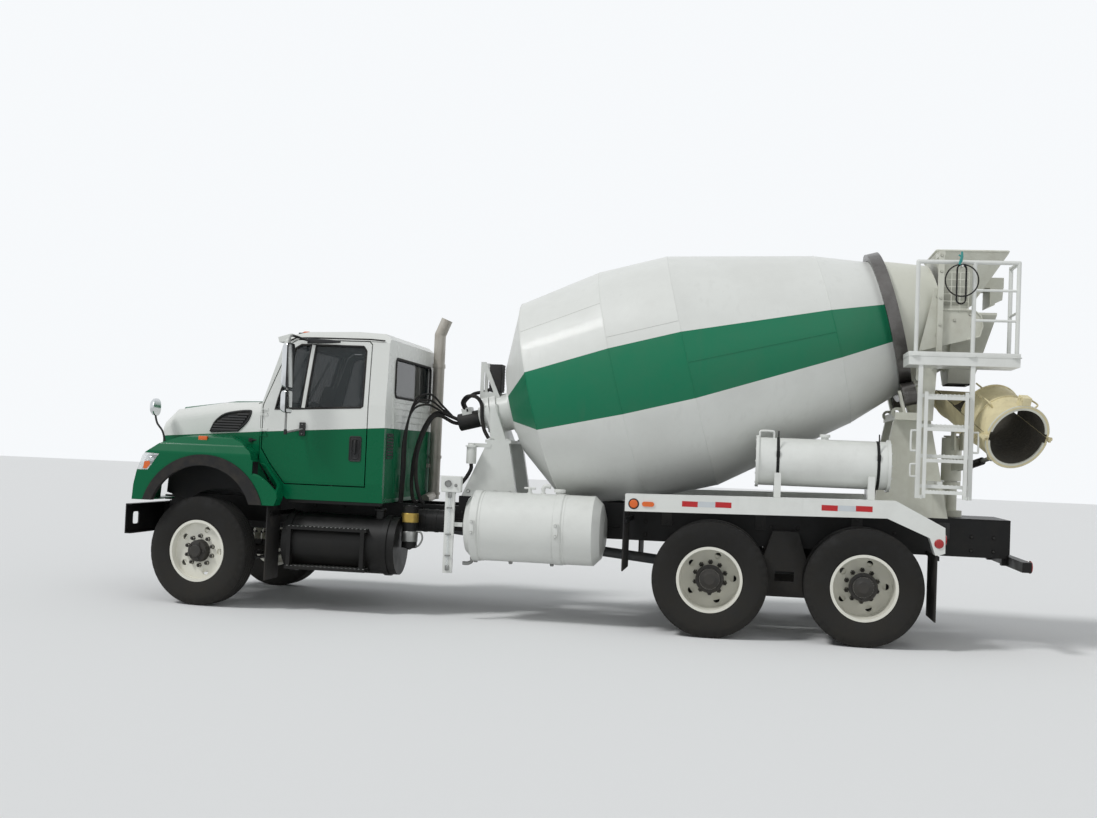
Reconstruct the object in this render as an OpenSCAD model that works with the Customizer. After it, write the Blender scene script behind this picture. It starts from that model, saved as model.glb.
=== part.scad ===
// Concrete mixer truck with a bonnet, a day cab and a rear discharge drum.
// Millimetres. X runs rearward, Y to the truck's right, Z up from the ground.
// Every module is drawn from the front axle (x = 0) and moved to the middle of the length at the end.

/* [Wheels and axles] */
// Outer diameter of the tyres
tyre_d = 1050; // [1000:10:1090]
// Width of one tyre
tyre_w = 270; // [240:5:280]
// Diameter of the rim where the tyre sits
rim_d = 572; // [560:2:590]
// Front axle to first drive axle
wheelbase = 4900; // [4850:10:4980]
// First to second drive axle
tandem = 1370; // [1320:10:1420]
// Between the middles of the front tyres
front_track = 2040; // [2020:10:2070]
// Between the middles of the twin tyres of one side
twin_gap = 335; // [325:5:345]
// Between the middles of the outer drive tyres
rear_track = 2180; // [2160:10:2200]
// Angle of the front wheels as parked, to the truck's right
steer_angle = 9; // [-20:1:20]
// From a kingpin to the middle of its tyre
kingpin_inset = 120; // [110:2:132]

/* [Frame] */
// Outside width of the frame rails
frame_w = 860; // [840:5:880]
// Height of the frame rails
rail_h = 250; // [230:10:260]
// Top of the frame rails above the ground
rail_top = 1050; // [1040:5:1070]
// Height of the mixer subframe on the rails
subframe_h = 100; // [90:5:110]
// Front axle to the rear end of the frame
frame_rear = 7640; // [7600:10:7680]
// Front axle to the front face of the bumper
bumper_reach = 780; // [760:5:820]

/* [Cab and bonnet] */
// Width of the cab at the doors
cab_w = 2000; // [1960:10:2020]
// Front axle to the cab's rear wall
cab_rear = 1750; // [1720:10:1780]
// Height of the roof above the ground
roof_z = 2720; // [2680:10:2760]
// Thickness of the doors and cab walls
cab_wall = 45; // [35:1:55]
// Thickness of the bonnet's skin
bonnet_skin = 14; // [10:1:20]
// Width over the front wings
wing_w = 2400; // [2360:10:2420]
// Gap round the doors and the bonnet
panel_gap = 11; // [9:1:13]

/* [Drum] */
// Slope of the drum's axis
drum_tilt = 14.5; // [13:0.5:15.5]
// Height of the drum's axis 4600 mm behind the front axle
drum_axis_z = 2490; // [2490:5:2520]
// Largest radius of the drum
belly_r = 1170; // [1140:5:1185]
// Thickness of the drum's shell
drum_skin = 12; // [8:1:18]
// Outer radius of the track ring
track_r = 740; // [720:5:750]
// Width of the track ring
track_w = 110; // [90:5:120]
// Radius of the two rollers
roller_r = 110; // [100:5:120]

/* [Chute] */
// Inside radius of the chutes
chute_r = 278; // [260:2:280]
// Thickness of the chute sheet
chute_skin = 8; // [6:1:10]
// Direction of the parked chute, from straight back towards the left
chute_swing = 70; // [40:1:72]
// Slope of the parked chute
chute_slope = 24; // [20:1:28]
// From the swing post to the mouth of the main chute
chute_l = 1281; // [1240:1:1300]
// Length of the folding chute
fold_l = 540; // [480:10:545]

/* [Tanks] */
// Diameter of the wash water tank
water_d = 660; // [620:10:680]
// Length of the wash water tank
water_l = 1370; // [1300:10:1400]
// Diameter of the admixture tank on the left rear wing
aux_d = 440; // [400:10:460]
// Diameter of the fuel tank
fuel_d = 560; // [520:10:580]

/* [Hidden] */
$fn = 64;

white = [0.86, 0.87, 0.86];
cream = [0.85, 0.82, 0.72];
green = [0.03, 0.42, 0.27];
black = [0.06, 0.06, 0.07];
steel = [0.42, 0.43, 0.45];
rubber = [0.10, 0.10, 0.11];
amber = [0.90, 0.40, 0.05];
glass = [0.35, 0.42, 0.45, 0.5];

left = -1;
right = 1;
axle_z = tyre_d / 2;
mid_x = wheelbase;
rear_x = wheelbase + tandem;
axle_gap = 5;

// Places on the drum's axis, measured along it from the point 4600 mm behind the front axle
drum_x = 4600;
// [place along the axis, radius of the shell]
drum_sections = [
    [-1790, 470], [-1490, 1040], [-660, belly_r], [30, belly_r], [1420, 845], [1900, 672], [2040, 648], [2460, 500]
];
track_at = 1970;
mouth_at = drum_sections[7][0];
mouth_r = drum_sections[7][1];

// Chute frame: the swing post's axis and the height where the chute's centre line meets it
swing_x = 7160;
swing_z = 2440;
mouth_lug = 42;
mouth_knuckle_r = 16;
chute_end_x = swing_x + (chute_l * cos(chute_slope) + mouth_knuckle_r) * cos(chute_swing)
    + (chute_r + chute_skin + mouth_lug) * sin(chute_swing);
x_mid = (chute_end_x - bumper_reach) / 2;

// Box between two corners
module block(low, high) {
    translate(low)
        cube([high[0] - low[0], high[1] - low[1], high[2] - low[2]]);
}

// Cylinder along Y from y0 to y1
module rod_y(x, z, r, y0, y1) {
    translate([x, y0, z])
        rotate([-90, 0, 0])
            cylinder(r = r, h = y1 - y0);
}

// Cylinder along X from x0 to x1
module rod_x(y, z, r, x0, x1) {
    translate([x0, y, z])
        rotate([0, 90, 0])
            cylinder(r = r, h = x1 - x0);
}

// Round bar between two points
module rod_between(a, b, r) {
    d = b - a;
    l = norm(d);
    translate(a)
        rotate([0, acos(d[2] / l), atan2(d[1], d[0])])
            cylinder(r = r, h = l);
}

// Outline drawn in x and z, made solid between y0 and y1
module side_cut(y0, y1) {
    translate([0, y1, 0])
        rotate([90, 0, 0])
            linear_extrude(y1 - y0)
                children();
}

// Outline drawn in y and z, made solid between x0 and x1
module front_cut(x0, x1) {
    translate([x0, 0, 0])
        rotate([90, 0, 90])
            linear_extrude(x1 - x0)
                children();
}

// The left piece is the right one mirrored
module on_side(side) {
    if (side == left)
        mirror([0, 1, 0]) children();
    else
        children();
}

module both_sides() {
    children();
    mirror([0, 1, 0]) children();
}

module from_middle() {
    translate([-x_mid, 0, 0]) children();
}

// Wheels

// Section of one tyre: radius and distance from the tyre's middle
module tyre_section() {
    bead = rim_d / 2;
    half = tyre_w / 2;
    crown = tyre_d / 2;
    side_points = [
        [bead, half - 32], [bead + 14, half - 31], [bead + 22, half - 14], [bead + 70, half],
        [crown - 70, half - 2], [crown - 14, half - 20], [crown, half - 34]
    ];
    polygon(concat(
        side_points,
        [for (i = [len(side_points) - 1:-1:0]) [side_points[i][0], -side_points[i][1]]]
    ));
}

module tyre_at(y) {
    color(rubber)
        translate([0, y, 0])
            rotate([-90, 0, 0])
                rotate_extrude($fn = 72)
                    tyre_section();
}

// Rim with its disc; disc_at is the disc's place, outward of the tyre's middle
module rim_at(y, disc_at) {
    bead = rim_d / 2;
    half = tyre_w / 2;
    wall = 12;
    flange_in = half - 30.5;
    flange_out = half - 18;
    translate([0, y, 0])
        rotate([-90, 0, 0]) {
            rotate_extrude($fn = 72)
                for (s = [-1, 1])
                    polygon([
                        [bead - wall, 0], [bead, 0], [bead, s * flange_in],
                        [bead + 13, s * flange_in], [bead + 13, s * flange_out], [bead - wall, s * flange_out]
                    ]);
            if (disc_at != undef)
                translate([0, 0, disc_at])
                    rim_disc(bead - wall / 2);
        }
}

hand_holes = 5;
wheel_studs = 10;
stud_pcd_r = 142.875;

module rim_disc(r) {
    disc = 14;
    difference() {
        cylinder(r = r, h = disc, center = true);
        cylinder(r = 90, h = 3 * disc, center = true);
        for (i = [0:hand_holes - 1])
            rotate([0, 0, 360 / hand_holes * i])
                translate([212, 0, 0])
                    cylinder(r = 30, h = 3 * disc, center = true);
    }
}

spindle_r = 45;
front_y = front_track / 2;
front_disc = 40;

module front_wheel_place(side) {
    translate([0, side * pin_y, axle_z])
        rotate([0, 0, -steer_angle])
            on_side(side)
                translate([0, kingpin_inset, 0])
                    children();
}

module tyre_front(side) {
    front_wheel_place(side) tyre_at(0);
}

module rim_front(side) {
    disc_y = front_disc;
    color(cream)
        front_wheel_place(side)
            difference() {
                union() {
                    rim_at(0, disc_y);
                    rod_y(0, 0, 92, plate_y + 24 - kingpin_inset, disc_y + 62);
                    wheel_nuts(disc_y + 6);
                    brake_drum(boss_r - kingpin_inset, 34);
                }
                rod_y(0, 0, spindle_r + 1, -120, disc_y + 30);
            }
}

module wheel_nuts(y) {
    for (i = [0:wheel_studs - 1])
        rotate([0, 360 / wheel_studs * (i + 0.5), 0])
            rod_y(stud_pcd_r, 0, 17, y - 8, y + 28);
}

module brake_drum(y0, y1) {
    difference() {
        rod_y(0, 0, 215, y0, y1);
        rod_y(0, 0, 200, y0 - 1, y1 - 16);
    }
}

twin_y = rear_track / 2 - twin_gap / 2;
axle_end_r = 60;

module drive_wheel_place(x, side) {
    translate([x, 0, axle_z])
        on_side(side)
            translate([0, twin_y, 0])
                children();
}

module tyre_drive(x, side) {
    drive_wheel_place(x, side) {
        tyre_at(twin_gap / 2);
        tyre_at(-twin_gap / 2);
    }
}

module rim_drive(x, side) {
    color(cream)
        drive_wheel_place(x, side)
            difference() {
                union() {
                    rim_at(twin_gap / 2, 8 - twin_gap / 2);
                    rim_at(-twin_gap / 2, twin_gap / 2 - 6);
                    rim_spacer();
                    rod_y(0, 0, 92, -190, 200);
                    rod_y(0, 0, 128, 160, 172);
                    wheel_nuts(16);
                    brake_drum(-240, -8);
                }
                rod_y(0, 0, axle_end_r + 1, -300, 165);
            }
}

// Ring between the two rims of a twin wheel
module rim_spacer() {
    half = (twin_gap - tyre_w) / 2 + 18;
    difference() {
        rod_y(0, 0, rim_d / 2 - 6, -half, half);
        rod_y(0, 0, rim_d / 2 - 16, -half - 1, half + 1);
    }
}

// Steering

kingpin_r = 20;
boss_h = 120;
boss_r = 0.375 * kingpin_inset;
plate_y = boss_r + 11;
pin_y = front_y - kingpin_inset;
arm_l = 190;
arm_z = axle_z - 105;

module knuckle(side) {
    color(black)
        translate([0, side * pin_y, axle_z])
            rotate([0, 0, -steer_angle])
                on_side(side) {
                    translate([0, 0, -110]) cylinder(r = kingpin_r, h = 220);
                    for (z = [boss_h / 2 + axle_gap, -boss_h / 2 - axle_gap - 40])
                        difference() {
                            hull() {
                                translate([0, 0, z]) cylinder(r = boss_r + 1, h = 40, $fn = 32);
                                block([-50, plate_y, z], [50, plate_y + 10, z + 40]);
                            }
                        }
                    block([-55, plate_y, -105], [55, plate_y + 20, 105]);
                    rod_y(0, 0, spindle_r, plate_y + 14, kingpin_inset + front_disc + 28);
                    // steering arm and its ball pin
                    translate([0, 0, arm_z - axle_z + 5]) {
                        block([-10, -14, -6], [arm_l, 14, 20]);
                        translate([0, 0, -6]) cylinder(r = 34, h = 26);
                        block([-10, 0, -6], [30, plate_y + 10, 20]);
                    }
                    translate([arm_l, 0, arm_z - axle_z - 36]) cylinder(r = 11, h = 60);
                    translate([arm_l, 0, arm_z - axle_z - 1]) cylinder(r = 26, h = 26);
                }
}

function arm_end(side) = [
    arm_l * cos(-steer_angle),
    side * pin_y + arm_l * sin(-steer_angle),
    arm_z - 22
];

module tie_rod() {
    a = arm_end(left);
    b = arm_end(right);
    color(black)
        difference() {
            union() {
                rod_between(a, b, 17);
                for (p = [a, b])
                    translate([p[0], p[1], p[2] - 15]) cylinder(r = 26, h = 30);
            }
            for (p = [a, b])
                translate([p[0], p[1], p[2] - 20]) cylinder(r = 11.6, h = 40);
        }
}

spring_y = 385;
module front_axle() {
    beam_h = 90;
    drop = 70;
    color(black) {
        difference() {
            union() {
                side = 620;
                block([-45, -side, axle_z - 50 - drop], [45, side, axle_z + 40 - drop]);
                both_sides() {
                    hull() {
                        block([-45, side - 20, axle_z - 50 - drop], [45, side, axle_z + 40 - drop]);
                        block([-38, pin_y - 50, axle_z - 45], [38, pin_y - 30, axle_z + 45]);
                    }
                    translate([0, pin_y, axle_z - boss_h / 2]) cylinder(r = boss_r, h = boss_h);
                }
            }
            both_sides()
                translate([0, pin_y, 0]) cylinder(r = kingpin_r + 0.6, h = 2 * axle_z);
        }
        // leaf springs, flattened under the load
        both_sides()
            translate([0, spring_y, 0]) {
                for (i = [0:3])
                    translate([0, 0, axle_z + 40 - drop + 14 * i])
                        block([-300 - 100 * i, -40, 0], [300 + 100 * i, 40, 14]);
                for (x = [-600, 600])
                    hull() {
                        block([x - 20, -40, axle_z + 12], [x + 20, 40, axle_z + 26]);
                        block([x - 45, -34, rail_top - rail_h - 20], [x + 45, 34, rail_top - rail_h]);
                    }
                block([-60, -50, axle_z - 50 - drop - 14], [60, 50, axle_z - 50 - drop]);
                for (x = [-54, 40])
                    block([x, -50, axle_z - 50 - drop], [x + 14, -40, axle_z + 96 - drop]);
                for (x = [-54, 40])
                    block([x, 40, axle_z - 50 - drop], [x + 14, 50, axle_z + 96 - drop]);
            }
    }
}

// Frame

rail_wall = 9;
rail_flange = 80;
rail_bottom = rail_top - rail_h;
frame_front = -640;
sub_front = 2380;
sub_w = 80;

module rail_section() {
    y = frame_w / 2;
    polygon([
        [y, rail_bottom], [y, rail_top], [y - rail_flange, rail_top], [y - rail_flange, rail_top - rail_wall],
        [y - rail_wall, rail_top - rail_wall], [y - rail_wall, rail_bottom + rail_wall],
        [y - rail_flange, rail_bottom + rail_wall], [y - rail_flange, rail_bottom]
    ]);
}

cross_members = [1900, 2700, 3600, 4250, 5585, 6500, 7300];
cover_x0 = 7090;
// bolt holes for a towing hook in the end plate
tow_y = 150;
tow_z = 1000;
tow_h = 160;
tow_hole_r = 9;

module chassis_frame() {
    color(black) {
        both_sides()
            front_cut(frame_front, frame_rear)
                rail_section();
        for (x = cross_members)
            block([x - 40, -frame_w / 2 + rail_wall, rail_bottom + 100], [x + 40, frame_w / 2 - rail_wall, rail_top - 50]);
        // low member below the radiator
        block([-560, -frame_w / 2 + rail_wall, rail_bottom + 10], [-480, frame_w / 2 - rail_wall, rail_bottom + 80]);
        both_sides()
            block([sub_front, frame_w / 2 - sub_w, rail_top], [frame_rear, frame_w / 2, rail_top + subframe_h]);
        // bars behind the mud flaps
        both_sides() {
            block([flap_front_x + flap_t, frame_w / 2 - rail_wall, 900], [flap_front_x + flap_t + 18, 1100, 940]);
            block([wing_x0, frame_w / 2 - rail_wall, 1000], [wing_x0 + 18, 1180, 1040]);
            block([6880 + flap_t, frame_w / 2 - rail_wall, rail_bottom], [6898 + flap_t, 1180, rail_bottom + 40]);
        }
        // lugs that hold the bonnet's hinge bar
        both_sides()
            difference() {
                block([bonnet_nose_x - 26, 396, tilt_z - 25], [frame_front + 12, 425, tilt_z + 25]);
                rod_y(bonnet_nose_x, tilt_z, tilt_r + 1, 390, 430);
            }
        // cover plate and end plate of the frame's rear end
        block([cover_x0, -frame_w / 2 - 6, rail_top + subframe_h], [frame_rear + 8, frame_w / 2 + 6, rail_top + subframe_h + 8]);
        difference() {
            block([frame_rear, -frame_w / 2, rail_bottom + 40], [frame_rear + 8, frame_w / 2, rail_top + subframe_h]);
            for (y = [-tow_y, tow_y], z = [tow_z - tow_h / 2, tow_z + tow_h / 2])
                rod_x(y, z, tow_hole_r, frame_rear - 1, frame_rear + 9);
        }
        rear_bar();
    }
}

bar_z = 735;
bar_h = 90;
module rear_bar() {
    half = 1150;
    block([frame_rear - 20, -half, bar_z], [frame_rear + 60, half, bar_z + bar_h]);
    both_sides()
        block([frame_rear - 60, 330, bar_z], [frame_rear - 20, 410, rail_bottom + rail_wall]);
}

bumper_z = 660;
bumper_h = 290;
bumper_w = 2300;
module front_bumper() {
    plate = 12;
    depth = 120;
    color(black) {
        difference() {
            block([-bumper_reach, -bumper_w / 2, bumper_z], [-bumper_reach + plate, bumper_w / 2, bumper_z + bumper_h]);
            both_sides()
                side_hole();
        }
        // ends folded back and the brackets to the rails
        both_sides() {
            block([-bumper_reach + plate, 300, bumper_z + 30], [frame_front, 330, bumper_z + bumper_h - 30]);
            block([frame_front - 20, 300, rail_bottom + 20], [frame_front, frame_w / 2, rail_top - 80]);
        }
        block([-bumper_reach + plate, -bumper_w / 2, bumper_z], [-bumper_reach + 60, bumper_w / 2, bumper_z + plate]);
        block([-bumper_reach + plate, -bumper_w / 2, bumper_z + bumper_h - plate], [-bumper_reach + 60, bumper_w / 2, bumper_z + bumper_h]);
    }
}

module side_hole() {
    hull()
        for (y = [905, 985], z = [bumper_z + 110, bumper_z + 180])
            rod_x(y, z, 25, -bumper_reach - 1, -bumper_reach + 40);
}

module rear_bogie() {
    color(black) {
        for (x = [mid_x, rear_x]) {
            rod_y(x, axle_z, axle_end_r, -(twin_y + 150), twin_y + 150);
            rod_y(x, axle_z, 75, -twin_y + 260, twin_y - 260);
            translate([x, 0, axle_z]) sphere(r = 205);
            rod_x(0, axle_z + 30, 90, x - 330, x);
        }
        // equaliser beams under the axles, the saddles and their brackets
        both_sides()
            translate([0, 520, 0]) {
                side_cut(-40, 40)
                    polygon([
                        [mid_x - 90, axle_z - 180], [rear_x + 90, axle_z - 180], [rear_x + 90, axle_z - 62],
                        [mid_x + tandem / 2 + 120, axle_z - 40], [mid_x + tandem / 2 - 120, axle_z - 40],
                        [mid_x - 90, axle_z - 62]
                    ]);
                for (x = [mid_x, rear_x])
                    block([x - 70, -40, axle_z - 62], [x + 70, 40, axle_z]);
                side_cut(-80, 40)
                    polygon([
                        [mid_x + tandem / 2 - 240, axle_z + 60], [mid_x + tandem / 2 + 240, axle_z + 60],
                        [mid_x + tandem / 2 + 120, rail_bottom + 160], [mid_x + tandem / 2 - 120, rail_bottom + 160]
                    ]);
                for (x = [-150, 150])
                    block([mid_x + tandem / 2 + x - 60, -40, axle_z - 62], [mid_x + tandem / 2 + x + 60, 40, axle_z + 60]);
            }
        // brake chambers and their brackets
        for (x = [mid_x, rear_x])
            both_sides() {
                block([x - 20, 270, axle_z + 30], [x + 130, 330, axle_z + 190]);
                rod_x(300, axle_z + 165, 82, x + 120, x + 290);
                rod_x(300, axle_z + 165, 90, x + 190, x + 206);
            }
        // torque rods from the middle cross member to the axle tops
        for (x = [mid_x, rear_x])
            rod_between([x, 0, axle_z + 190], [mid_x + tandem / 2, 0, rail_bottom + 60], 28);
        block([mid_x + tandem / 2 - 40, -60, rail_bottom + 50], [mid_x + tandem / 2 + 40, 60, rail_bottom + 100]);
    }
}

module power_train() {
    pinion = 342;
    color(steel) {
        block([-400, -300, 720], [400, 300, 1560]);
        block([400, -230, 730], [760, 230, 1030]);
        block([760, -150, 740], [1300, 150, 1010]);
        rod_between([1290, 0, 880], [mid_x - pinion, 0, axle_z + 45], 50);
        rod_between([mid_x + 212, 0, axle_z + 38], [rear_x - pinion, 0, axle_z + 34], 45);
        // radiator with its side tanks above the rails
        block([-520, -340, rail_bottom + 90], [-450, 340, 1060]);
        block([-520, -380, 1060], [-450, 380, 1620]);
        block([-450, -60, 900], [-400, 60, 1200]);
    }
}

// Cab

cab_front = 440;
// half width of the scuttle between the bonnet's sides
scuttle_y = 897;
cab_floor = rail_top + 12;
belt_z = 2000;
roof_w = 1880;

// Side outline of the cab in x and z
module cab_side(inset) {
    offset(delta = -inset)
        polygon([
            [cab_front, 1500], [690, 1150], [790, cab_floor], [cab_rear, cab_floor],
            [cab_rear, roof_z - 70], [cab_rear - 70, roof_z - 15], [1400, roof_z],
            [900, roof_z - 15], [760, roof_z - 50], [690, roof_z - 105], [505, 1975], [cab_front, 1905]
        ]);
}

// Front outline of the cab in y and z
module cab_section(inset) {
    offset(delta = -inset)
        polygon([
            for (s = [1, -1], i = s == 1 ? [0:4] : [4:-1:0])
                let (p = [
                    [cab_w / 2 - 20, cab_floor], [cab_w / 2, cab_floor + 180], [cab_w / 2, belt_z],
                    [roof_w / 2, roof_z - 110], [roof_w / 2 - 110, roof_z]
                ][i])
                [s * p[0], p[1]]
        ]);
}

module cab_form(inset) {
    intersection() {
        side_cut(-cab_w, cab_w) cab_side(inset);
        front_cut(0, 2 * cab_rear) cab_section(inset);
    }
}

door_front = 512;
door_hinge_y = cab_w / 2 + 12;

// Outline of the door in x and z; inset shrinks it evenly
module door_outline(inset) {
    offset(delta = -inset)
        polygon([
            [door_front, 1960], [door_front, 1545], [605, 1400], [765, 1205], [1580, 1205], [1580, 2590],
            [1550, 2625], [820, 2625], [745, 2580]
        ]);
}

module door_window(inset) {
    offset(delta = -inset)
        polygon([
            [640, 1930], [1520, 1975], [1520, 2540], [1490, 2570], [850, 2570], [800, 2530]
        ]);
}

module cab_shell() {
    color(white)
        difference() {
            union() {
                difference() {
                    cab_form(0);
                    cab_form(cab_wall);
                }
                // posts beside the scuttle, where the bonnet's sides pass
                intersection() {
                    cab_form(0);
                    both_sides()
                        block([cab_front + 40, scuttle_y - 47, 1440], [door_front, cab_w / 2 - 20, belt_z]);
                }
            }
            both_sides()
                side_cut(cab_w / 4, cab_w) door_outline(0);
            windscreen_cut();
            rear_window_cut(0);
            both_sides()
                block([cab_front - 10, scuttle_y, 1000], [bonnet_rear_x + 14, cab_w, belt_z + 10]);
        }
    color(white) visor();
    // middle knuckles of the door hinges
    color(white)
        both_sides()
            for (z = hinge_heights)
                difference() {
                    union() {
                        translate([door_front, door_hinge_y, z - 12]) cylinder(r = 10, h = 24);
                        block([bonnet_rear_x + 15, cab_w / 2 - 4, z - 12], [door_front - 1, door_hinge_y, z + 12]);
                    }
                    translate([door_front, door_hinge_y, z - 20]) cylinder(r = 6, h = 40);
                }
}

screen_half = 840;
module windscreen_cut() {
    intersection() {
        side_cut(-screen_half, screen_half)
            polygon([[300, 2010], [720, 2010], [900, 2580], [500, 2580]]);
        block([300, -screen_half, 2010], [1000, screen_half, 2580]);
    }
}

module rear_window_cut(grow) {
    hull()
        for (y = [-640, 640], z = [2160, 2420])
            rod_x(y, z, 60 + grow, cab_rear - 2 * cab_wall, cab_rear + 10);
}

module cab_glass() {
    color(glass) {
        intersection() {
            difference() {
                cab_form(14);
                cab_form(20);
            }
            windscreen_cut();
        }
        intersection() {
            rear_window_cut(0);
            block([cab_rear - 26, -cab_w, belt_z], [cab_rear - 20, cab_w, roof_z]);
        }
    }
}

module visor() {
    side_cut(-800, 800)
        polygon([[560, 2650], [575, 2600], [700, 2622], [760, 2672], [700, 2690]]);
}

module cab_interior() {
    color(black) {
        // dashboard, steering column and wheel on the left
        side_cut(-scuttle_y + 57, scuttle_y - 57)
            polygon([[500, 1500], [760, 1560], [800, 1800], [700, 1900], [540, 1900], [500, 1860]]);
        rod_between([740, -420, 1640], [960, -420, 1850], 26);
        translate([975, -420, 1864])
            rotate([0, 46.3, 0]) {
                rotate_extrude()
                    translate([215, 0]) circle(r = 15, $fn = 16);
                cylinder(r = 50, h = 26, center = true);
                for (a = [0, 120, 240])
                    rotate([0, 0, a])
                        block([20, -14, -8], [212, 14, 8]);
            }
        for (y = [-420, 420])
            translate([0, y, 0])
                seat();
    }
}

module seat() {
    block([1130, -200, cab_floor + cab_wall], [1560, 200, 1340]);
    block([1080, -240, 1340], [1600, 240, 1470]);
    side_cut(-230, 230)
        polygon([[1500, 1470], [1610, 1470], [1690, 2130], [1590, 2130]]);
}

// Doors

hinge_heights = [1700, 1900];
module door(side) {
    color(green)
        on_side(side)
            for (z = hinge_heights) {
                translate([door_front, door_hinge_y, z - 38]) cylinder(r = 5, h = 76);
                for (low = [z - 38, z + 14]) {
                    translate([door_front, door_hinge_y, low]) cylinder(r = 10, h = 24);
                    block([door_front + 5, cab_w / 2 - 2, low], [door_front + 58, cab_w / 2 + 6, low + 24]);
                }
            }
    color(green)
        on_side(side)
            difference() {
                intersection() {
                    difference() {
                        cab_form(0);
                        cab_form(cab_wall);
                    }
                    side_cut(cab_w / 4, cab_w) door_outline(panel_gap);
                }
                side_cut(cab_w / 4, cab_w) door_window(0);
            }
}

module door_glass(side) {
    color(glass)
        on_side(side)
            intersection() {
                difference() {
                    cab_form(16);
                    cab_form(22);
                }
                side_cut(cab_w / 4, cab_w) door_window(0);
            }
}

mirror_y = 1130;
module door_mirror(side) {
    color(black)
        on_side(side) {
            block([790, mirror_y, 2130], [860, mirror_y + 190, 2560]);
            block([790, mirror_y + 10, 1890], [850, mirror_y + 180, 2110]);
            rod_between([825, mirror_y + 60, 2560], [825, mirror_y + 60, 2640], 11);
            rod_between([825, mirror_y + 60, 1700], [825, mirror_y + 60, 1890], 11);
            rod_between([825, mirror_y + 60, 1712], [930, cab_w / 2 + 14, 1745], 11);
            translate([825, mirror_y + 60, 1690]) cylinder(r = 16, h = 44);
            block([900, cab_w / 2, 1680], [960, cab_w / 2 + 22, 1810]);
            rod_between([825, mirror_y + 60, 2110], [825, mirror_y + 60, 2130], 11);
        }
}

// Bonnet

bonnet_nose_x = -690;
bonnet_rear_x = 488;
bonnet_rear_w = 1960;
wing_front_x = -700;
arch_z = 830;
arch_r = 560;

// Cross-section of the bonnet's centre as a thin slice: half width, top height, bottom height
module bonnet_slice(x, half, top, low, inset) {
    r = 130;
    hull() {
        for (y = [-half + r, half - r])
            translate([x, y, top - r])
                rotate([0, 90, 0])
                    cylinder(r = r - inset, h = 2, $fn = 32);
        block([x, -half + inset, low], [x + 2, half - inset, low + 10]);
    }
}

// [x, half width, height of the top]
bonnet_slices = [[bonnet_nose_x, 600, 1790], [-560, 640, 1905], [0, 800, 1985], [bonnet_rear_x - 2, 980, 2000]];

module bonnet_centre(inset) {
    for (i = [0:2])
        hull() {
            bonnet_slice(bonnet_slices[i][0] + (i == 0 ? inset : 0), bonnet_slices[i][1], bonnet_slices[i][2], 1300 - inset, inset);
            bonnet_slice(bonnet_slices[i + 1][0], bonnet_slices[i + 1][1], bonnet_slices[i + 1][2], 1300 - inset, inset);
        }
}

// Side outline of a front wing in x and z
module wing_side(inset) {
    difference() {
        offset(delta = -inset) offset(r = 90) offset(delta = -90)
            polygon([
                [wing_front_x, 750], [wing_front_x, 1000], [wing_front_x + 10, 1150], [-660, 1290], [-600, 1450],
                [-460, 1553], [-295, 1620], [-60, 1656], [180, 1656], [369, 1586], [bonnet_rear_x, 1490],
                [bonnet_rear_x + 10, 1430], [600, 1400], [760, 1200], [775, 1070], [744, 998], [700, 750]
            ]);
        translate([-1000, 600]) square([2000, 399 + inset]);
    }
}

module wing_form(inset) {
    intersection() {
        side_cut(600, wing_w / 2 - inset) wing_side(inset);
        front_cut(-1000, 1000)
            offset(r = 70) offset(delta = -70) polygon([
                [400, 800], [wing_w / 2 - inset, 800], [wing_w / 2 - inset, 1470 - inset],
                [wing_w / 2 - 40 - inset, 1560 - inset], [wing_w / 2 - 120 - inset, 1630 - inset],
                [wing_w / 2 - 260, 1660 - inset], [400, 1660 - inset]
            ]);
    }
}

module bonnet_outer(inset) {
    bonnet_centre(inset);
    both_sides() wing_form(inset);
}

module bonnet() {
    color(green)
        difference() {
            union() {
                bonnet_outer(0);
                bonnet_middle(410, 14);
                bonnet_middle(385, 26);
            }
            bonnet_outer(bonnet_skin);
            // wheel arch opening and the open underside
            both_sides() {
                rod_y(0, arch_z, arch_r, 590, wing_w);
            }
            block([-900, -580, 900], [900, 580, 1320]);
            both_sides()
                block([-560, 590, 900], [640, wing_w, arch_z + 60]);
            // open rear end round the scuttle
            block([cab_front - 8, -scuttle_y - 8, 900], [900, scuttle_y + 8, 2200]);
            both_sides()
                block([bonnet_rear_x, 500, 900], [1000, door_hinge_y + 20, 2100]);
            both_sides()
                door_sweep();
            grille_opening();
            both_sides()
                lamp_opening();
        }
    color(green)
        rod_y(bonnet_nose_x, tilt_z, tilt_r, -606, 606);
}

tilt_z = 1000;
tilt_r = 12;

// Raised panel along the middle of the bonnet's top
module bonnet_middle(half, proud) {
    side_cut(-half, half)
        polygon(concat(
            [for (s = bonnet_slices) [s[0], s[2] - 8]],
            [for (i = [len(bonnet_slices) - 1:-1:1]) [bonnet_slices[i][0], bonnet_slices[i][2] + proud]],
            [[bonnet_nose_x + 12, bonnet_slices[0][2] + proud - 4], [bonnet_nose_x, bonnet_slices[0][2] + proud - 14]]
        ));
}

// Space that the lower front of the opening door passes through
module door_sweep() {
    difference() {
        block([door_front, cab_w / 2, 1050], [1000, wing_w, 1600]);
        translate([door_front, door_hinge_y, 1040])
            cylinder(r1 = 384, r2 = 92, h = 360);
    }
}

// Opening of a headlamp, from the front of the wing round to its side
module lamp_opening() {
    side_cut(860, wing_w / 2 + 10)
        polygon([[-800, 1290], [-800, 1440], [-600, 1458], [-440, 1450], [-550, 1290]]);
}

module grille_opening() {
    block([-900, -480, 1200], [-560, 480, 1750]);
}

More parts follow.
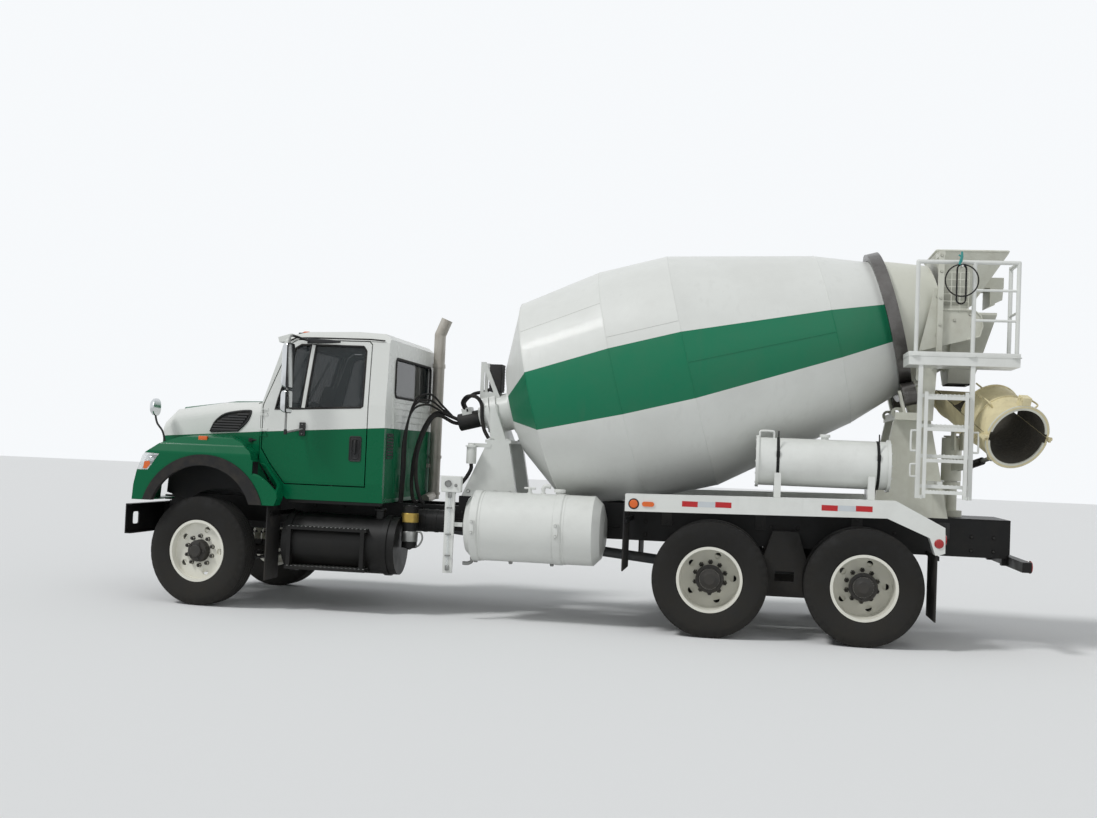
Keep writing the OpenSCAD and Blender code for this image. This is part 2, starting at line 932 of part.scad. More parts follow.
module grille() {
    bars = 6;
    color(steel) {
        difference() {
            block([-700, -480, 1200], [-660, 480, 1750]);
            block([-760, -430, 1250], [-600, 430, 1700]);
        }
        for (i = [0:bars - 1])
            block([-695, -430, 1290 + 70 * i], [-665, 430, 1310 + 70 * i]);
        block([-698, -20, 1250], [-662, 20, 1700]);
    }
}

module headlamps() {
    color(glass)
        both_sides()
            intersection() {
                lamp_opening();
                difference() {
                    wing_form(0);
                    wing_form(30);
                }
            }
}

flare_x = 20;
flare_r = 630;
module wing_flares() {
    color(rubber)
        both_sides()
            intersection() {
                difference() {
                    union() {
                        rod_y(flare_x, arch_z, flare_r, wing_w / 2, wing_w / 2 + 12);
                        rod_y(0, arch_z, arch_r - 3, wing_w / 2 - 50, wing_w / 2 + 12);
                    }
                    rod_y(0, arch_z, 525, wing_w / 2 - 60, wing_w / 2 + 40);
                }
                block([-700, 0, 1000], [700, 1400, 1500]);
            }
}

// Exhaust, tanks and boxes

module exhaust_stack() {
    stack_y = 750;
    stack_x = cab_rear + 80;
    color(steel) {
        difference() {
            union() {
                translate([stack_x, stack_y, 1060]) cylinder(r = 62, h = 1790);
                translate([stack_x, stack_y, 2850]) sphere(r = 62);
                rod_between([stack_x, stack_y, 2850], [stack_x + 70, stack_y, 3020], 62);
            }
            rod_between([stack_x + 12, stack_y, 2880], [stack_x + 90, stack_y, 3069], 54);
        }
        for (z = [1500, 2500])
            translate([stack_x, stack_y, z]) cylinder(r = 70, h = 30);
        block([cab_rear + 2, stack_y - 60, 1400], [cab_rear + 40, stack_y + 60, 1440]);
        rod_between([stack_x, stack_y, 1100], [stack_x - 30, 500, 1060], 50);
    }
}

fuel_x0 = 780;
fuel_x1 = 1900;
fuel_y = 770;
fuel_z = 650;
module fuel_tank() {
    color(black) {
        rod_x(left * fuel_y, fuel_z, fuel_d / 2, fuel_x0, fuel_x1);
        for (x = [fuel_x0 + 30, fuel_x1 - 130])
            rod_x(left * fuel_y, fuel_z, fuel_d / 2 + 8, x, x + 50);
        translate([fuel_x1 - 200, left * (fuel_y + 60), fuel_z + 200]) cylinder(r = 50, h = 130);
        // steps and the brackets to the rail
        for (x = [fuel_x0 + 160, fuel_x1 - 160])
            block([x - 30, -fuel_y, fuel_z - 40], [x + 30, -frame_w / 2, rail_bottom + 120]);
        block([fuel_x0 + 60, -fuel_y - 330, 400], [fuel_x1 - 260, -fuel_y - 60, 430]);
        for (x = [fuel_x0 + 70, fuel_x1 - 320])
            block([x, -fuel_y - 320, 400], [x + 40, -fuel_y - 240, 800]);
        block([fuel_x0 + 60, -fuel_y - 320, 780], [fuel_x1 - 260, -fuel_y - 100, 810]);
    }
}

module battery_box() {
    color(black) {
        block([fuel_x0 + 40, frame_w / 2, 560], [fuel_x0 + 640, 1080, 980]);
        block([fuel_x0 + 60, 1080, 420], [fuel_x0 + 620, 1130, 450]);
        block([fuel_x0 + 60, 1050, 450], [fuel_x0 + 90, 1130, 640]);
        block([fuel_x0 + 590, 1050, 450], [fuel_x0 + 620, 1130, 640]);
    }
}

module air_tanks() {
    color(black) {
        rod_x(-600, 900, 110, 1980, 2330);
        block([2100, -560, 880], [2160, -frame_w / 2, 920]);
        rod_x(600, 880, 130, 2000, 2800);
        block([2300, frame_w / 2, 860], [2360, 560, 900]);
        // fuel filter with its bowl
        translate([1990, -800, 640]) cylinder(r = 75, h = 400);
        block([1960, -760, 980], [2020, -frame_w / 2, 1020]);
    }
}

water_x0 = 2540;
water_y = 820;
water_z = 890;
module water_tank() {
    color(white) {
        translate([water_x0, -water_y, water_z])
            rotate([0, 90, 0])
                rotate_extrude()
                    polygon([
                        [0, 0], [150, 10], [260, 40], [water_d / 2, 110], [water_d / 2, water_l - 110],
                        [260, water_l - 40], [150, water_l - 10], [0, water_l]
                    ]);
        for (x = [water_x0 + 116, water_x0 + 911]) {
            difference() {
                rod_x(-water_y, water_z, water_d / 2 + 6, x, x + 60);
                rod_x(-water_y, water_z, water_d / 2, x - 1, x + 61);
            }
            block([x, -water_y, water_z + water_d / 2 - 200], [x + 60, -frame_w / 2, water_z + water_d / 2 - 120]);
        }
        // gauge box and sight glass on their bracket
        block([2350, -1080, 1205], [2540, -1020, 1355]);
        block([2390, -1060, 440], [2480, -1025, 1210]);
        block([2400, -1030, 880], [2560, -1000, 920]);
    }
}

// Drum and its drive

module on_drum_axis() {
    translate([drum_x, 0, drum_axis_z])
        rotate([0, 90 - drum_tilt, 0])
            children();
}

module drum() {
    color(white)
        on_drum_axis()
            rotate_extrude($fn = 96)
                polygon(concat(
                    [[0, drum_sections[0][0]]],
                    [for (s = drum_sections) [s[1], s[0]]],
                    [for (i = [len(drum_sections) - 1:-1:0])
                        [drum_sections[i][1] - drum_skin, drum_sections[i][0] + (i == 0 ? drum_skin : 0)]],
                    [[0, drum_sections[0][0] + drum_skin]]
                ));
}

module drum_track() {
    color(steel)
        on_drum_axis()
            difference() {
                translate([0, 0, track_at - track_w / 2])
                    cylinder(r = track_r, h = track_w, $fn = 96);
                translate([0, 0, track_at - track_w])
                    cylinder(r = 676, h = 2 * track_w, $fn = 96);
            }
}

roller_angle = 35;
roller_gap = 0.5;
module roller_place(side) {
    on_drum_axis()
        translate([(track_r + roller_r + roller_gap) * cos(roller_angle), side * (track_r + roller_r + roller_gap) * sin(roller_angle), track_at])
            children();
}

module roller(side) {
    color(steel)
        roller_place(side)
            difference() {
                cylinder(r = roller_r, h = track_w + 10, center = true);
                cylinder(r = 31, h = 2 * track_w, center = true);
            }
}

flange_at = drum_sections[0][0];
module drum_drive() {
    color(white)
        on_drum_axis() {
            translate([0, 0, flange_at - 60]) cylinder(r = 240, h = 50);
            translate([0, 0, flange_at - 260]) cylinder(r = 190, h = 200);
            translate([0, 0, flange_at - 320]) cylinder(r = 215, h = 60);
            translate([0, 0, flange_at - 360]) cylinder(r = 90, h = 40);
        }
    color(black) {
        on_drum_axis() {
            translate([0, 0, flange_at - 600]) cylinder(r = 85, h = 240);
            translate([0, 0, flange_at - 400]) cylinder(r = 110, h = 40);
            block([-130, -70, flange_at - 570], [-60, 70, flange_at - 470]);
        }
        // oil cooler between the brackets on the casting
        block([2575, -100, 2215], [2690, 100, 2490]);
    }
}

module front_pedestal() {
    top_z = 1690;
    base_z = rail_top + subframe_h;
    color(white) {
        both_sides()
            side_cut(350, 420)
                polygon([[2400, base_z], [2960, base_z], [2860, top_z], [2640, top_z]]);
        block([2620, -420, top_z], [2880, 420, top_z + 30]);
        // oil filter on its shelf
        block([2450, -425, 1640], [2680, -413, 1680]);
        block([2450, -540, 1640], [2550, -413, 1655]);
        translate([2500, -480, 1475]) cylinder(r = 48, h = 170);
        // casting that carries the gearbox
        difference() {
            union() {
                hull() {
                    on_drum_axis() translate([0, 0, flange_at - 250]) cylinder(r = 215, h = 60);
                    block([2640, -260, top_z + 10], [2800, 260, top_z + 30]);
                }
                // open brackets of the oil cooler
                both_sides()
                    side_cut(100, 114)
                        difference() {
                            polygon([[2483, 2130], [2483, 2512], [2535, 2512], [2694, 2150], [2694, 2130]]);
                            polygon([[2518, 2205], [2518, 2405], [2535, 2405], [2622, 2205]]);
                        }
            }
            on_drum_axis() {
                translate([0, 0, flange_at - 400]) cylinder(r = 190, h = 600);
                translate([0, 0, flange_at - 420]) cylinder(r = 215, h = 160);
                translate([0, 0, flange_at - 60]) cylinder(r = 240, h = 200);
            }
        }
    }
}

// Rear pedestal and what stands on it

module rear_pedestal() {
    base_z = rail_top + subframe_h;
    color(white) {
        both_sides() {
            side_cut(350, 430)
                polygon([[6380, base_z], [cover_x0 - 10, base_z], [6930, 1900], [6900, 2060], [6560, 2060]]);
            // cheeks that stand up behind the track ring
            side_cut(490, 550)
                polygon([[6790, 2060], [6900, 2060], [6930, 2690], [6880, 2690], [6735, 2560], [6735, 2440], [6790, 2420]]);
        }
        block([6560, -550, 2060], [6900, 550, 2130]);
        both_sides()
            difference() {
                union() {
                    rod_y(6585, 2128, 52, 395, 425);
                    block([6585, 395, 2050], [6660, 425, 2180]);
                }
                rod_y(6585, 2128, 27, 390, 430);
            }
        for (side = [left, right])
            roller_place(side) {
                for (s = [-1, 1])
                    translate([0, 0, s * (track_w / 2 + 25)]) {
                        cylinder(r = 50, h = 24, center = true);
                        block([0, -50, -12], [175, 50, 12]);
                    }
                cylinder(r = 30, h = track_w + 74, center = true);
            }
        // swing post of the chute with its stays
        translate([swing_x, 0, base_z + 8]) {
            cylinder(r = post_r, h = post_top - base_z - 8);
            cylinder(r = 110, h = 60);
            translate([0, 0, sleeve_z0 - base_z - 8 - 55]) cylinder(r = 92, h = 50);
            translate([0, 0, post_top - base_z - 8 - 14]) cylinder(r = 78, h = 14);
        }
        side_cut(-40, 40)
            polygon([[6860, 1300], [7140, 1240], [7140, 1440], [6860, 1640]]);
        block([6860, -360, 1300], [6900, 360, 1640]);
    }
}

wing_rail_z = 1110;
wing_rail_h = 160;
wing_x0 = 4110;
wing_x1 = 6520;
wing_rise = 45;
function wing_top(x) = wing_rail_z + wing_rail_h + wing_rise * (x - wing_x0) / (wing_x1 - wing_x0);
module rear_wings() {
    color(white)
        both_sides() {
            side_cut(1040, 1205)
                polygon([
                    [wing_x0, wing_rail_z], [wing_x0, wing_top(wing_x0)], [wing_x1, wing_top(wing_x1)],
                    [6950, 1095], [6955, 870], [6900, 850], [6870, 850], [6820, 1000], [6450, 1155]
                ]);
            for (x = [4180, 5500, 6360])
                block([x, frame_w / 2, wing_rail_z + 40], [x + 70, 1040, wing_rail_z + 110]);
        }
}

flap_front_x = 660;
flap_t = 12;
module mud_flaps() {
    color(rubber)
        both_sides() {
            block([wing_x0 - flap_t, 640, 560], [wing_x0, 1200, wing_rail_z + 90]);
            block([6880, 640, 260], [6880 + flap_t, 1200, 850]);
            block([flap_front_x, 800, 280], [flap_front_x + flap_t, 1150, 990]);
        }
}

aux_x0 = 5280;
aux_x1 = 6480;
aux_z = 1620;
aux_y = 900;
module aux_tank() {
    color(white) {
        rod_x(-aux_y, aux_z, aux_d / 2, aux_x0, aux_x1);
        rod_x(-aux_y, aux_z, aux_d / 2 + 18, aux_x0, aux_x0 + 26);
        rod_x(-aux_y, aux_z, aux_d / 2 + 18, aux_x1 - 26, aux_x1);
        for (x = [aux_x0 + 170, aux_x1 - 200])
            block([x, -1140, wing_top(x + 60)], [x + 60, -760, aux_z - 100]);
    }
}

platform_x0 = 6600;
platform_x1 = 7560;
platform_z = 2540;
platform_y0 = 690;
platform_y1 = 1120;
module platform() {
    color(white) {
        block([platform_x0, -platform_y1, platform_z], [platform_x1, -platform_y0, platform_z + 80]);
        block([6870, -platform_y0, platform_z], [6925, -550, platform_z + 60]);
        // handrail
        for (x = [platform_x0 + 60, 7150, platform_x1 - 30])
            translate([x, -platform_y1 + 20, platform_z + 80]) cylinder(r = 19, h = 850);
        rod_x(-platform_y1 + 20, platform_z + 930, 19, platform_x0 + 60, platform_x1 - 30);
        rod_y(platform_x1 - 30, platform_z + 930, 19, -platform_y1 + 20, -platform_y0 - 40);
        translate([platform_x1 - 30, -platform_y0 - 40, platform_z + 80]) cylinder(r = 19, h = 869);
        for (x = [platform_x0 + 60, platform_x1 - 30])
            translate([x, -platform_y1 + 20, platform_z + 930]) sphere(r = 19);
        translate([platform_x1 - 30, -platform_y0 - 40, platform_z + 930]) sphere(r = 19);
        // hook for the hose
        block([hose_x - 8, -platform_y1 - 1, hook_z - 9], [hose_x + 8, -platform_y1 + 15, platform_z + 930]);
        rod_y(hose_x, hook_z, 9, -platform_y1 - 68, -platform_y1 + 10);
        // fixed ladder below
        for (x = [6690, 7140])
            block([x, -platform_y1 + 10, 1346], [x + 40, -platform_y1 + 50, platform_z]);
        for (i = [0:3])
            block([6730, -platform_y1 + 10, 1440 + 270 * i], [7140, -platform_y1 + 45, 1470 + 270 * i]);
        block([6880, -platform_y1 + 40, 1440], [6930, -430, 1500]);
        // hinge plates of the folding ladder
        for (x = [6730, 7132])
            difference() {
                block([x, fold_pin[0] - 16, 1346], [x + 8, -platform_y1 + 50, 1378]);
                rod_x(fold_pin[0], fold_pin[1], 8.5, x - 2, x + 10);
            }
    }
}

fold_x0 = 6745;
fold_x1 = 7125;
fold_z = 1370;
fold_pin = [-platform_y1 - 70, 1362];
module ladder_lower() {
    y = -platform_y1 - 40;
    color(white) {
        for (x = [fold_x0, fold_x1 - 30])
            block([x, y, fold_z - 20], [x + 30, y + 32, fold_z + 930]);
        for (i = [0:3])
            block([fold_x0 + 30, y, fold_z + 20 + 280 * i], [fold_x1 - 30, y + 32, fold_z + 50 + 280 * i]);
        for (x = [fold_x0, fold_x1 - 8])
            block([x, fold_pin[0] - 16, fold_z - 20], [x + 8, y + 10, fold_z + 6]);
        rod_x(fold_pin[0], fold_pin[1], 8, fold_x0 - 13, fold_x0 + 2);
        rod_x(fold_pin[0], fold_pin[1], 8, fold_x1 - 2, fold_x1 + 13);
    }
}

module charge_hopper() {
    wall = 8;
    color(white) {
        difference() {
            union() {
                hull() {
                    block([6905, -430, 3660], [7560, 430, 3680]);
                    block([7010, -260, 3180], [7260, 260, 3200]);
                }
                block([7370, -200, 3365], [7565, 200, 3465]);
            }
            hull() {
                block([6905 + wall, -430 + wall, 3661], [7560 - wall, 430 - wall, 3700]);
                block([7010 + wall, -260 + wall, 3170], [7260 - wall, 260 - wall, 3200]);
            }
        }
        // deflector below the box behind the hopper
        block([7440, -200, 3195], [7448, 200, 3366]);
        both_sides()
            side_cut(192, 200)
                polygon([[7444, 3195], [7444, 3366], [7563, 3366], [7555, 3250]]);
        // spout that reaches into the drum's mouth
        side_cut(-252, 252)
            polygon([[6840, 3060], [7240, 3172], [7240, 3184], [6840, 3072]]);
        both_sides() {
            side_cut(252, 260)
                polygon([[6840, 3060], [7250, 3172], [7250, 3200], [7010, 3200], [6840, 3150]]);
            // posts beside the drum's mouth
            block([6900, 608, 2600], [6950, 650, 3640]);
            block([6895, 550, 2610], [6945, 650, 2660]);
            block([6905, 404, 3600], [6955, 650, 3640]);
        }
    }
}

module collector() {
    wall = 8;
    top_half = 600;
    low_half = 190;
    color(white)
        difference() {
            union() {
                difference() {
                    hull() {
                        block([7040, -top_half, 3060], [7440, top_half, 3080]);
                        block([7075, -low_half, collector_z], [7300, low_half, collector_z + 20]);
                    }
                    hull() {
                        block([7040 + wall, -top_half + wall, 3061], [7440 - wall, top_half - wall, 3090]);
                        block([7075 + wall, -low_half + wall, collector_z - 10], [7300 - wall, low_half - wall, collector_z + 20]);
                    }
                }
                // side sheets beside the drum's mouth
                both_sides()
                    side_cut(top_half - 30, top_half)
                        polygon([
                            [6748, 2705], [6850, 3172], [6872, 3300], [6940, 3300], [6950, 3100], [7240, 3100],
                            [7300, 3045], [7318, 2950], [7290, 2850], [7180, 2820]
                        ]);
                // guard of square wire beside the way in
                both_sides() {
                    for (x = [7020, 7098, 7176])
                        block([x, top_half, 3080], [x + 8, top_half + 8, 3456]);
                    for (i = [0:5])
                        block([6944, top_half, 3108 + 68 * i], [7184, top_half + 8, 3116 + 68 * i]);
                }
            }
            on_drum_axis() {
                translate([0, 0, 2030]) cylinder(r1 = 680, r2 = 530, h = 430);
                translate([0, 0, 2459]) cylinder(r = 530, h = 21);
            }
        }
}

// Chute

module chute_place() {
    translate([swing_x, 0, 0])
        rotate([0, 0, -chute_swing])
            children();
}

post_r = 60;
sleeve_z0 = 1500;
sleeve_z1 = 1920;
post_top = sleeve_z1 + 20;
collector_z = 2440;

// Pins of the lift in the chute's own plane: [distance from the post, height]
lift_hinge = [110, 1990];
barrel_pin = [330, 1655];
rod_pin = [760, 1740];
lift_pin_r = 14;
lift_l = norm(rod_pin - barrel_pin);
lift_angle = atan2(rod_pin[1] - barrel_pin[1], rod_pin[0] - barrel_pin[0]);

module chute_swivel() {
    color(white)
        chute_place() {
            difference() {
                translate([0, 0, sleeve_z0]) cylinder(r = 95, h = sleeve_z1 - sleeve_z0);
                translate([0, 0, sleeve_z0 - 10]) cylinder(r = post_r + 1, h = 700);
            }
            both_sides() {
                side_cut(34, 54)
                    polygon([[72, 1800], [150, 1800], [142, 2008], [128, 2022], [92, 2022], [78, 2008]]);
                side_cut(24, 44)
                    polygon([[72, 1600], [330, 1628], [352, 1640], [356, 1665], [340, 1684], [72, 1740]]);
            }
            rod_y(lift_hinge[0], lift_hinge[1], 16, -60, 60);
            rod_y(barrel_pin[0], barrel_pin[1], lift_pin_r, -48, 48);
        }
}

module chute_axis() {
    chute_place()
        translate([0, 0, swing_z])
            rotate([0, chute_slope, 0])
                children();
}

// Half pipe along X: part below the centre line for a trough, above it for a cover
module half_pipe(x0, x1, r, skin, above) {
    difference() {
        rod_x(0, 0, r + skin, x0, x1);
        rod_x(0, 0, r, x0 - 1, x1 + 1);
        if (above)
            block([x0 - 2, -2 * r, -2 * r], [x1 + 2, 2 * r, 4]);
        else
            block([x0 - 2, -2 * r, -4], [x1 + 2, 2 * r, 2 * r]);
    }
}

// Height of the trough's underside above a point in the chute's own plane
function trough_low(x) = swing_z - (chute_r + chute_skin) / cos(chute_slope) - x * tan(chute_slope);

module main_chute() {
    outer = chute_r + chute_skin;
    color(cream) {
        difference() {
            chute_axis() {
                half_pipe(-110, chute_l - 4, chute_r, chute_skin, false);
                // end sheet
                intersection() {
                    rod_x(0, 0, outer, -110, -102);
                    block([-120, -outer, -2 * outer], [-90, outer, -4]);
                }
            }
            chute_place()
                block([-400, -400, 2385], [200, 400, 2800]);
        }
        chute_axis()
            both_sides() {
                block([chute_l - 84, outer - 6, -34], [chute_l - 26, outer + mouth_lug, -10]);
                block([chute_l - 60, outer + 22, -34], [chute_l, outer + mouth_lug, -4]);
                rod_y(chute_l, 0, mouth_knuckle_r, outer + 22, outer + mouth_lug);
                rod_y(chute_l, 0, 8, outer + 2, outer + 30);
            }
        chute_place()
            difference() {
                union() {
                    side_cut(-26, 26)
                        polygon([[78, 1990], [92, 1962], [128, 1962], [142, 1990], [190, trough_low(190) + 4], [50, trough_low(50) + 4]]);
                    both_sides()
                        side_cut(24, 44)
                            polygon([
                                [735, 1740], [745, 1716], [775, 1716], [785, 1740],
                                [800, trough_low(800) + 6], [700, trough_low(700) + 6]
                            ]);
                }
                rod_y(lift_hinge[0], lift_hinge[1], 17, -80, 80);
            }
        chute_place()
            rod_y(rod_pin[0], rod_pin[1], lift_pin_r, -48, 48);
    }
}

module fold_chute() {
    outer = chute_r + chute_skin;
    color(cream)
        chute_axis() {
            half_pipe(chute_l - fold_l, chute_l - 4, chute_r, chute_skin, true);
            // latch
            block([chute_l - 94, -42, outer - 6], [chute_l - 8, 42, outer + 84]);
            both_sides()
                difference() {
                    union() {
                        rod_y(chute_l, 0, mouth_knuckle_r, outer + 2, outer + 20);
                        block([chute_l - 60, outer - 6, 10], [chute_l, outer + 20, 16]);
                    }
                    rod_y(chute_l, 0, 9, outer - 20, outer + 40);
                }
        }
}

// Places along the lift, drawn along X from the barrel's pin
module lift_axis() {
    chute_place()
        translate([barrel_pin[0], 0, barrel_pin[1]])
            rotate([0, -lift_angle, 0])
                children();
}

module lift_barrel() {
    color(steel)
        lift_axis()
            difference() {
                union() {
                    rod_y(0, 0, 28, -20, 20);
                    block([0, -20, -22], [50, 20, 22]);
                    rod_x(0, 0, 36, 45, 250);
                }
                rod_y(0, 0, lift_pin_r + 1, -30, 30);
                rod_x(0, 0, 21, 60, 260);
            }
}

module lift_rod() {
    color(steel)
        lift_axis()
            difference() {
                union() {
                    rod_x(0, 0, 20, 150, lift_l - 20);
                    rod_y(lift_l, 0, 36, -20, 20);
                }
                rod_y(lift_l, 0, lift_pin_r + 9, -30, 30);
            }
}

module marker_lamps() {
    color(amber)
        both_sides() {
            block([4160, 1205, 1160], [4220, 1214, 1220]);
        }
}

// Wash hose: flat oval turns on the hook, and one wide turn in front of them
hose_x = 7030;
hose_d = 13;
hook_z = 3425;
hank_r = 40;
hank_drop = 270;
loop_r = 143;
module wash_hose() {
    y0 = -platform_y1 - 3;
    top = hook_z + 9 + hose_d / 2 - hank_r;
    color(black) {
        side_cut(y0 - 3 * 14, y0)
            difference() {
                hose_oval(hank_r + hose_d / 2, top);
                hose_oval(hank_r - hose_d / 2, top);
            }
        translate([hose_x, y0 - 3 * 14 - hose_d / 2, hook_z + 9 + hose_d / 2 - loop_r])
            rotate([90, 0, 0])
                rotate_extrude()
                    translate([loop_r, 0]) circle(r = hose_d / 2, $fn = 24);
    }
}

module hose_oval(r, top) {
    for (z = [top, top - hank_drop])
        translate([hose_x, z]) circle(r = r);
    translate([hose_x - r, top - hank_drop]) square([2 * r, hank_drop]);
}

from_middle() {
    chassis_frame();
    front_bumper();
    front_axle();
    rear_bogie();
    power_train();
    cab_shell();
    cab_glass();
    cab_interior();
    exhaust_stack();
    fuel_tank();
    battery_box();
    air_tanks();
    water_tank();
    front_pedestal();
    drum_drive();
    rear_pedestal();
    rear_wings();
    mud_flaps();
    aux_tank();
    platform();
    charge_hopper();
    collector();
    marker_lamps();
    bonnet();
    grille();
    headlamps();
    wing_flares();
    door(left);  // door_left
    door_glass(left);  // door_glass_left
    door_mirror(left);  // mirror_left
    door(right);  // door_right
    door_glass(right);  // door_glass_right
    door_mirror(right);  // mirror_right
    knuckle(left);  // knuckle_left
    knuckle(right);  // knuckle_right
    tie_rod();
    tyre_front(left);  // tyre_front_left
    rim_front(left);  // rim_front_left
    tyre_front(right);  // tyre_front_right
    rim_front(right);  // rim_front_right
    tyre_drive(mid_x, left);  // tyre_mid_left
    rim_drive(mid_x, left);  // rim_mid_left
    tyre_drive(mid_x, right);  // tyre_mid_right
    rim_drive(mid_x, right);  // rim_mid_right
    tyre_drive(rear_x, left);  // tyre_rear_left
    rim_drive(rear_x, left);  // rim_rear_left
    tyre_drive(rear_x, right);  // tyre_rear_right
    rim_drive(rear_x, right);  // rim_rear_right
    drum();
    drum_track();
    roller(left);  // roller_left
    roller(right);  // roller_right
    chute_swivel();
    main_chute();
    fold_chute();
    lift_barrel();
    lift_rod();
    ladder_lower();
    wash_hose();
}
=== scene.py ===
"""Looks of the concrete mixer truck: paint, tyres, trim, hoses and the studio stage."""

import math

import bmesh
import bpy
from mathutils import Matrix, Vector


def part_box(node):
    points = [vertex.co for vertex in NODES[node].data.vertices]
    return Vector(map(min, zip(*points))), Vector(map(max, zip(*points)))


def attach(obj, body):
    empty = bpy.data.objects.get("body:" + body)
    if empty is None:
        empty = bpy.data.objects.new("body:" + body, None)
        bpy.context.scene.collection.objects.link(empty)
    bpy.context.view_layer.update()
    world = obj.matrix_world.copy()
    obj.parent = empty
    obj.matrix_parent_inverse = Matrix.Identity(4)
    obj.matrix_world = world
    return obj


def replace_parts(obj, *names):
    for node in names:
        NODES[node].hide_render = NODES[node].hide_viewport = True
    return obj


bl_info = {
    "name": "Concrete mixer truck",
    "version": (1, 0, 0),
    "blender": (4, 5, 0),
    "location": "View3D > Sidebar > Mixer truck",
    "description": "Paints and trims the mixer truck and sets up its stage",
    "category": "Object",
}

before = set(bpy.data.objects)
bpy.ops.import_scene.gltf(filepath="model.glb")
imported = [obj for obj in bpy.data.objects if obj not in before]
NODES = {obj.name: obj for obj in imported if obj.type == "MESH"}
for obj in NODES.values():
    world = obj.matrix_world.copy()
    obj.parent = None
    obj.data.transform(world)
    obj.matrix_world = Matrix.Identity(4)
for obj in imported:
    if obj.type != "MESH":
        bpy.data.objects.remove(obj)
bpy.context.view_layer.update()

SIDES = {"left": -1, "right": 1}
AXLES = ("front", "mid", "rear")


def middle(node):
    """Centre of a node's box."""
    low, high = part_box(node)
    return [(a + b) / 2 for a, b in zip(low, high)]


# Places are given in metres from the front axle, and moved to the frame here
MID_AXLE = 4.9
REAR_AXLE = 6.27
FRONT_X = middle("rim_mid_left")[0] - MID_AXLE
AXLE_Z = 0.525


def spot(x, y, z):
    """Point in the frame, from metres behind the front axle."""
    return Vector((x + FRONT_X, y, z))


def at(point):
    """A tuple is metres from the front axle and is moved to the frame; a Vector is taken as it is."""
    return point if isinstance(point, Vector) else spot(*point)


# The drum's axis: its slope, and the place where the middle of the drum lies on it
DRUM_TILT = math.radians(14.5)
DRUM_X, DRUM_Z = 4.6, 2.49
DRUM_AXIS = Vector((math.cos(DRUM_TILT), 0, math.sin(DRUM_TILT)))
DRUM_UP = Vector((-math.sin(DRUM_TILT), 0, math.cos(DRUM_TILT)))

# Materials

MATH, MIX = "ShaderNodeMath", "ShaderNodeMix"
NOISE, RANGE = "ShaderNodeTexNoise", "ShaderNodeMapRange"


def linear(code):
    """Linear colour, with alpha, of a six-digit sRGB code."""
    parts = [int(code[i:i + 2], 16) / 255 for i in (0, 2, 4)]
    return (*(c / 12.92 if c <= 0.04045 else ((c + 0.055) / 1.055) ** 2.4 for c in parts), 1.0)


def add_node(tree, kind, inputs=None, **settings):
    """New shader node; an input is a value, a socket, or a node whose first output feeds it."""
    node = tree.nodes.new(kind)
    for name, value in settings.items():
        setattr(node, name, value)
    for name, value in (inputs or {}).items():
        if isinstance(value, bpy.types.Node):
            value = value.outputs[0]
        if isinstance(value, bpy.types.NodeSocket):
            tree.links.new(value, node.inputs[name])
        else:
            node.inputs[name].default_value = value
    return node


def span(low, high, to_low, to_high):
    """Inputs that move one range to another, held at its ends."""
    return {"From Min": low, "From Max": high, "To Min": to_low, "To Max": to_high}


def plain(name, colour, rough, **sockets):
    """Principled material of one colour; sockets are its other inputs, with _ for a space."""
    mat = bpy.data.materials.new(name)
    mat.use_nodes = True
    shader = mat.node_tree.nodes["Principled BSDF"]
    shader.inputs["Base Color"].default_value = linear(colour)
    shader.inputs["Roughness"].default_value = rough
    for key, value in sockets.items():
        shader.inputs[key.replace("_", " ")].default_value = value
    return mat


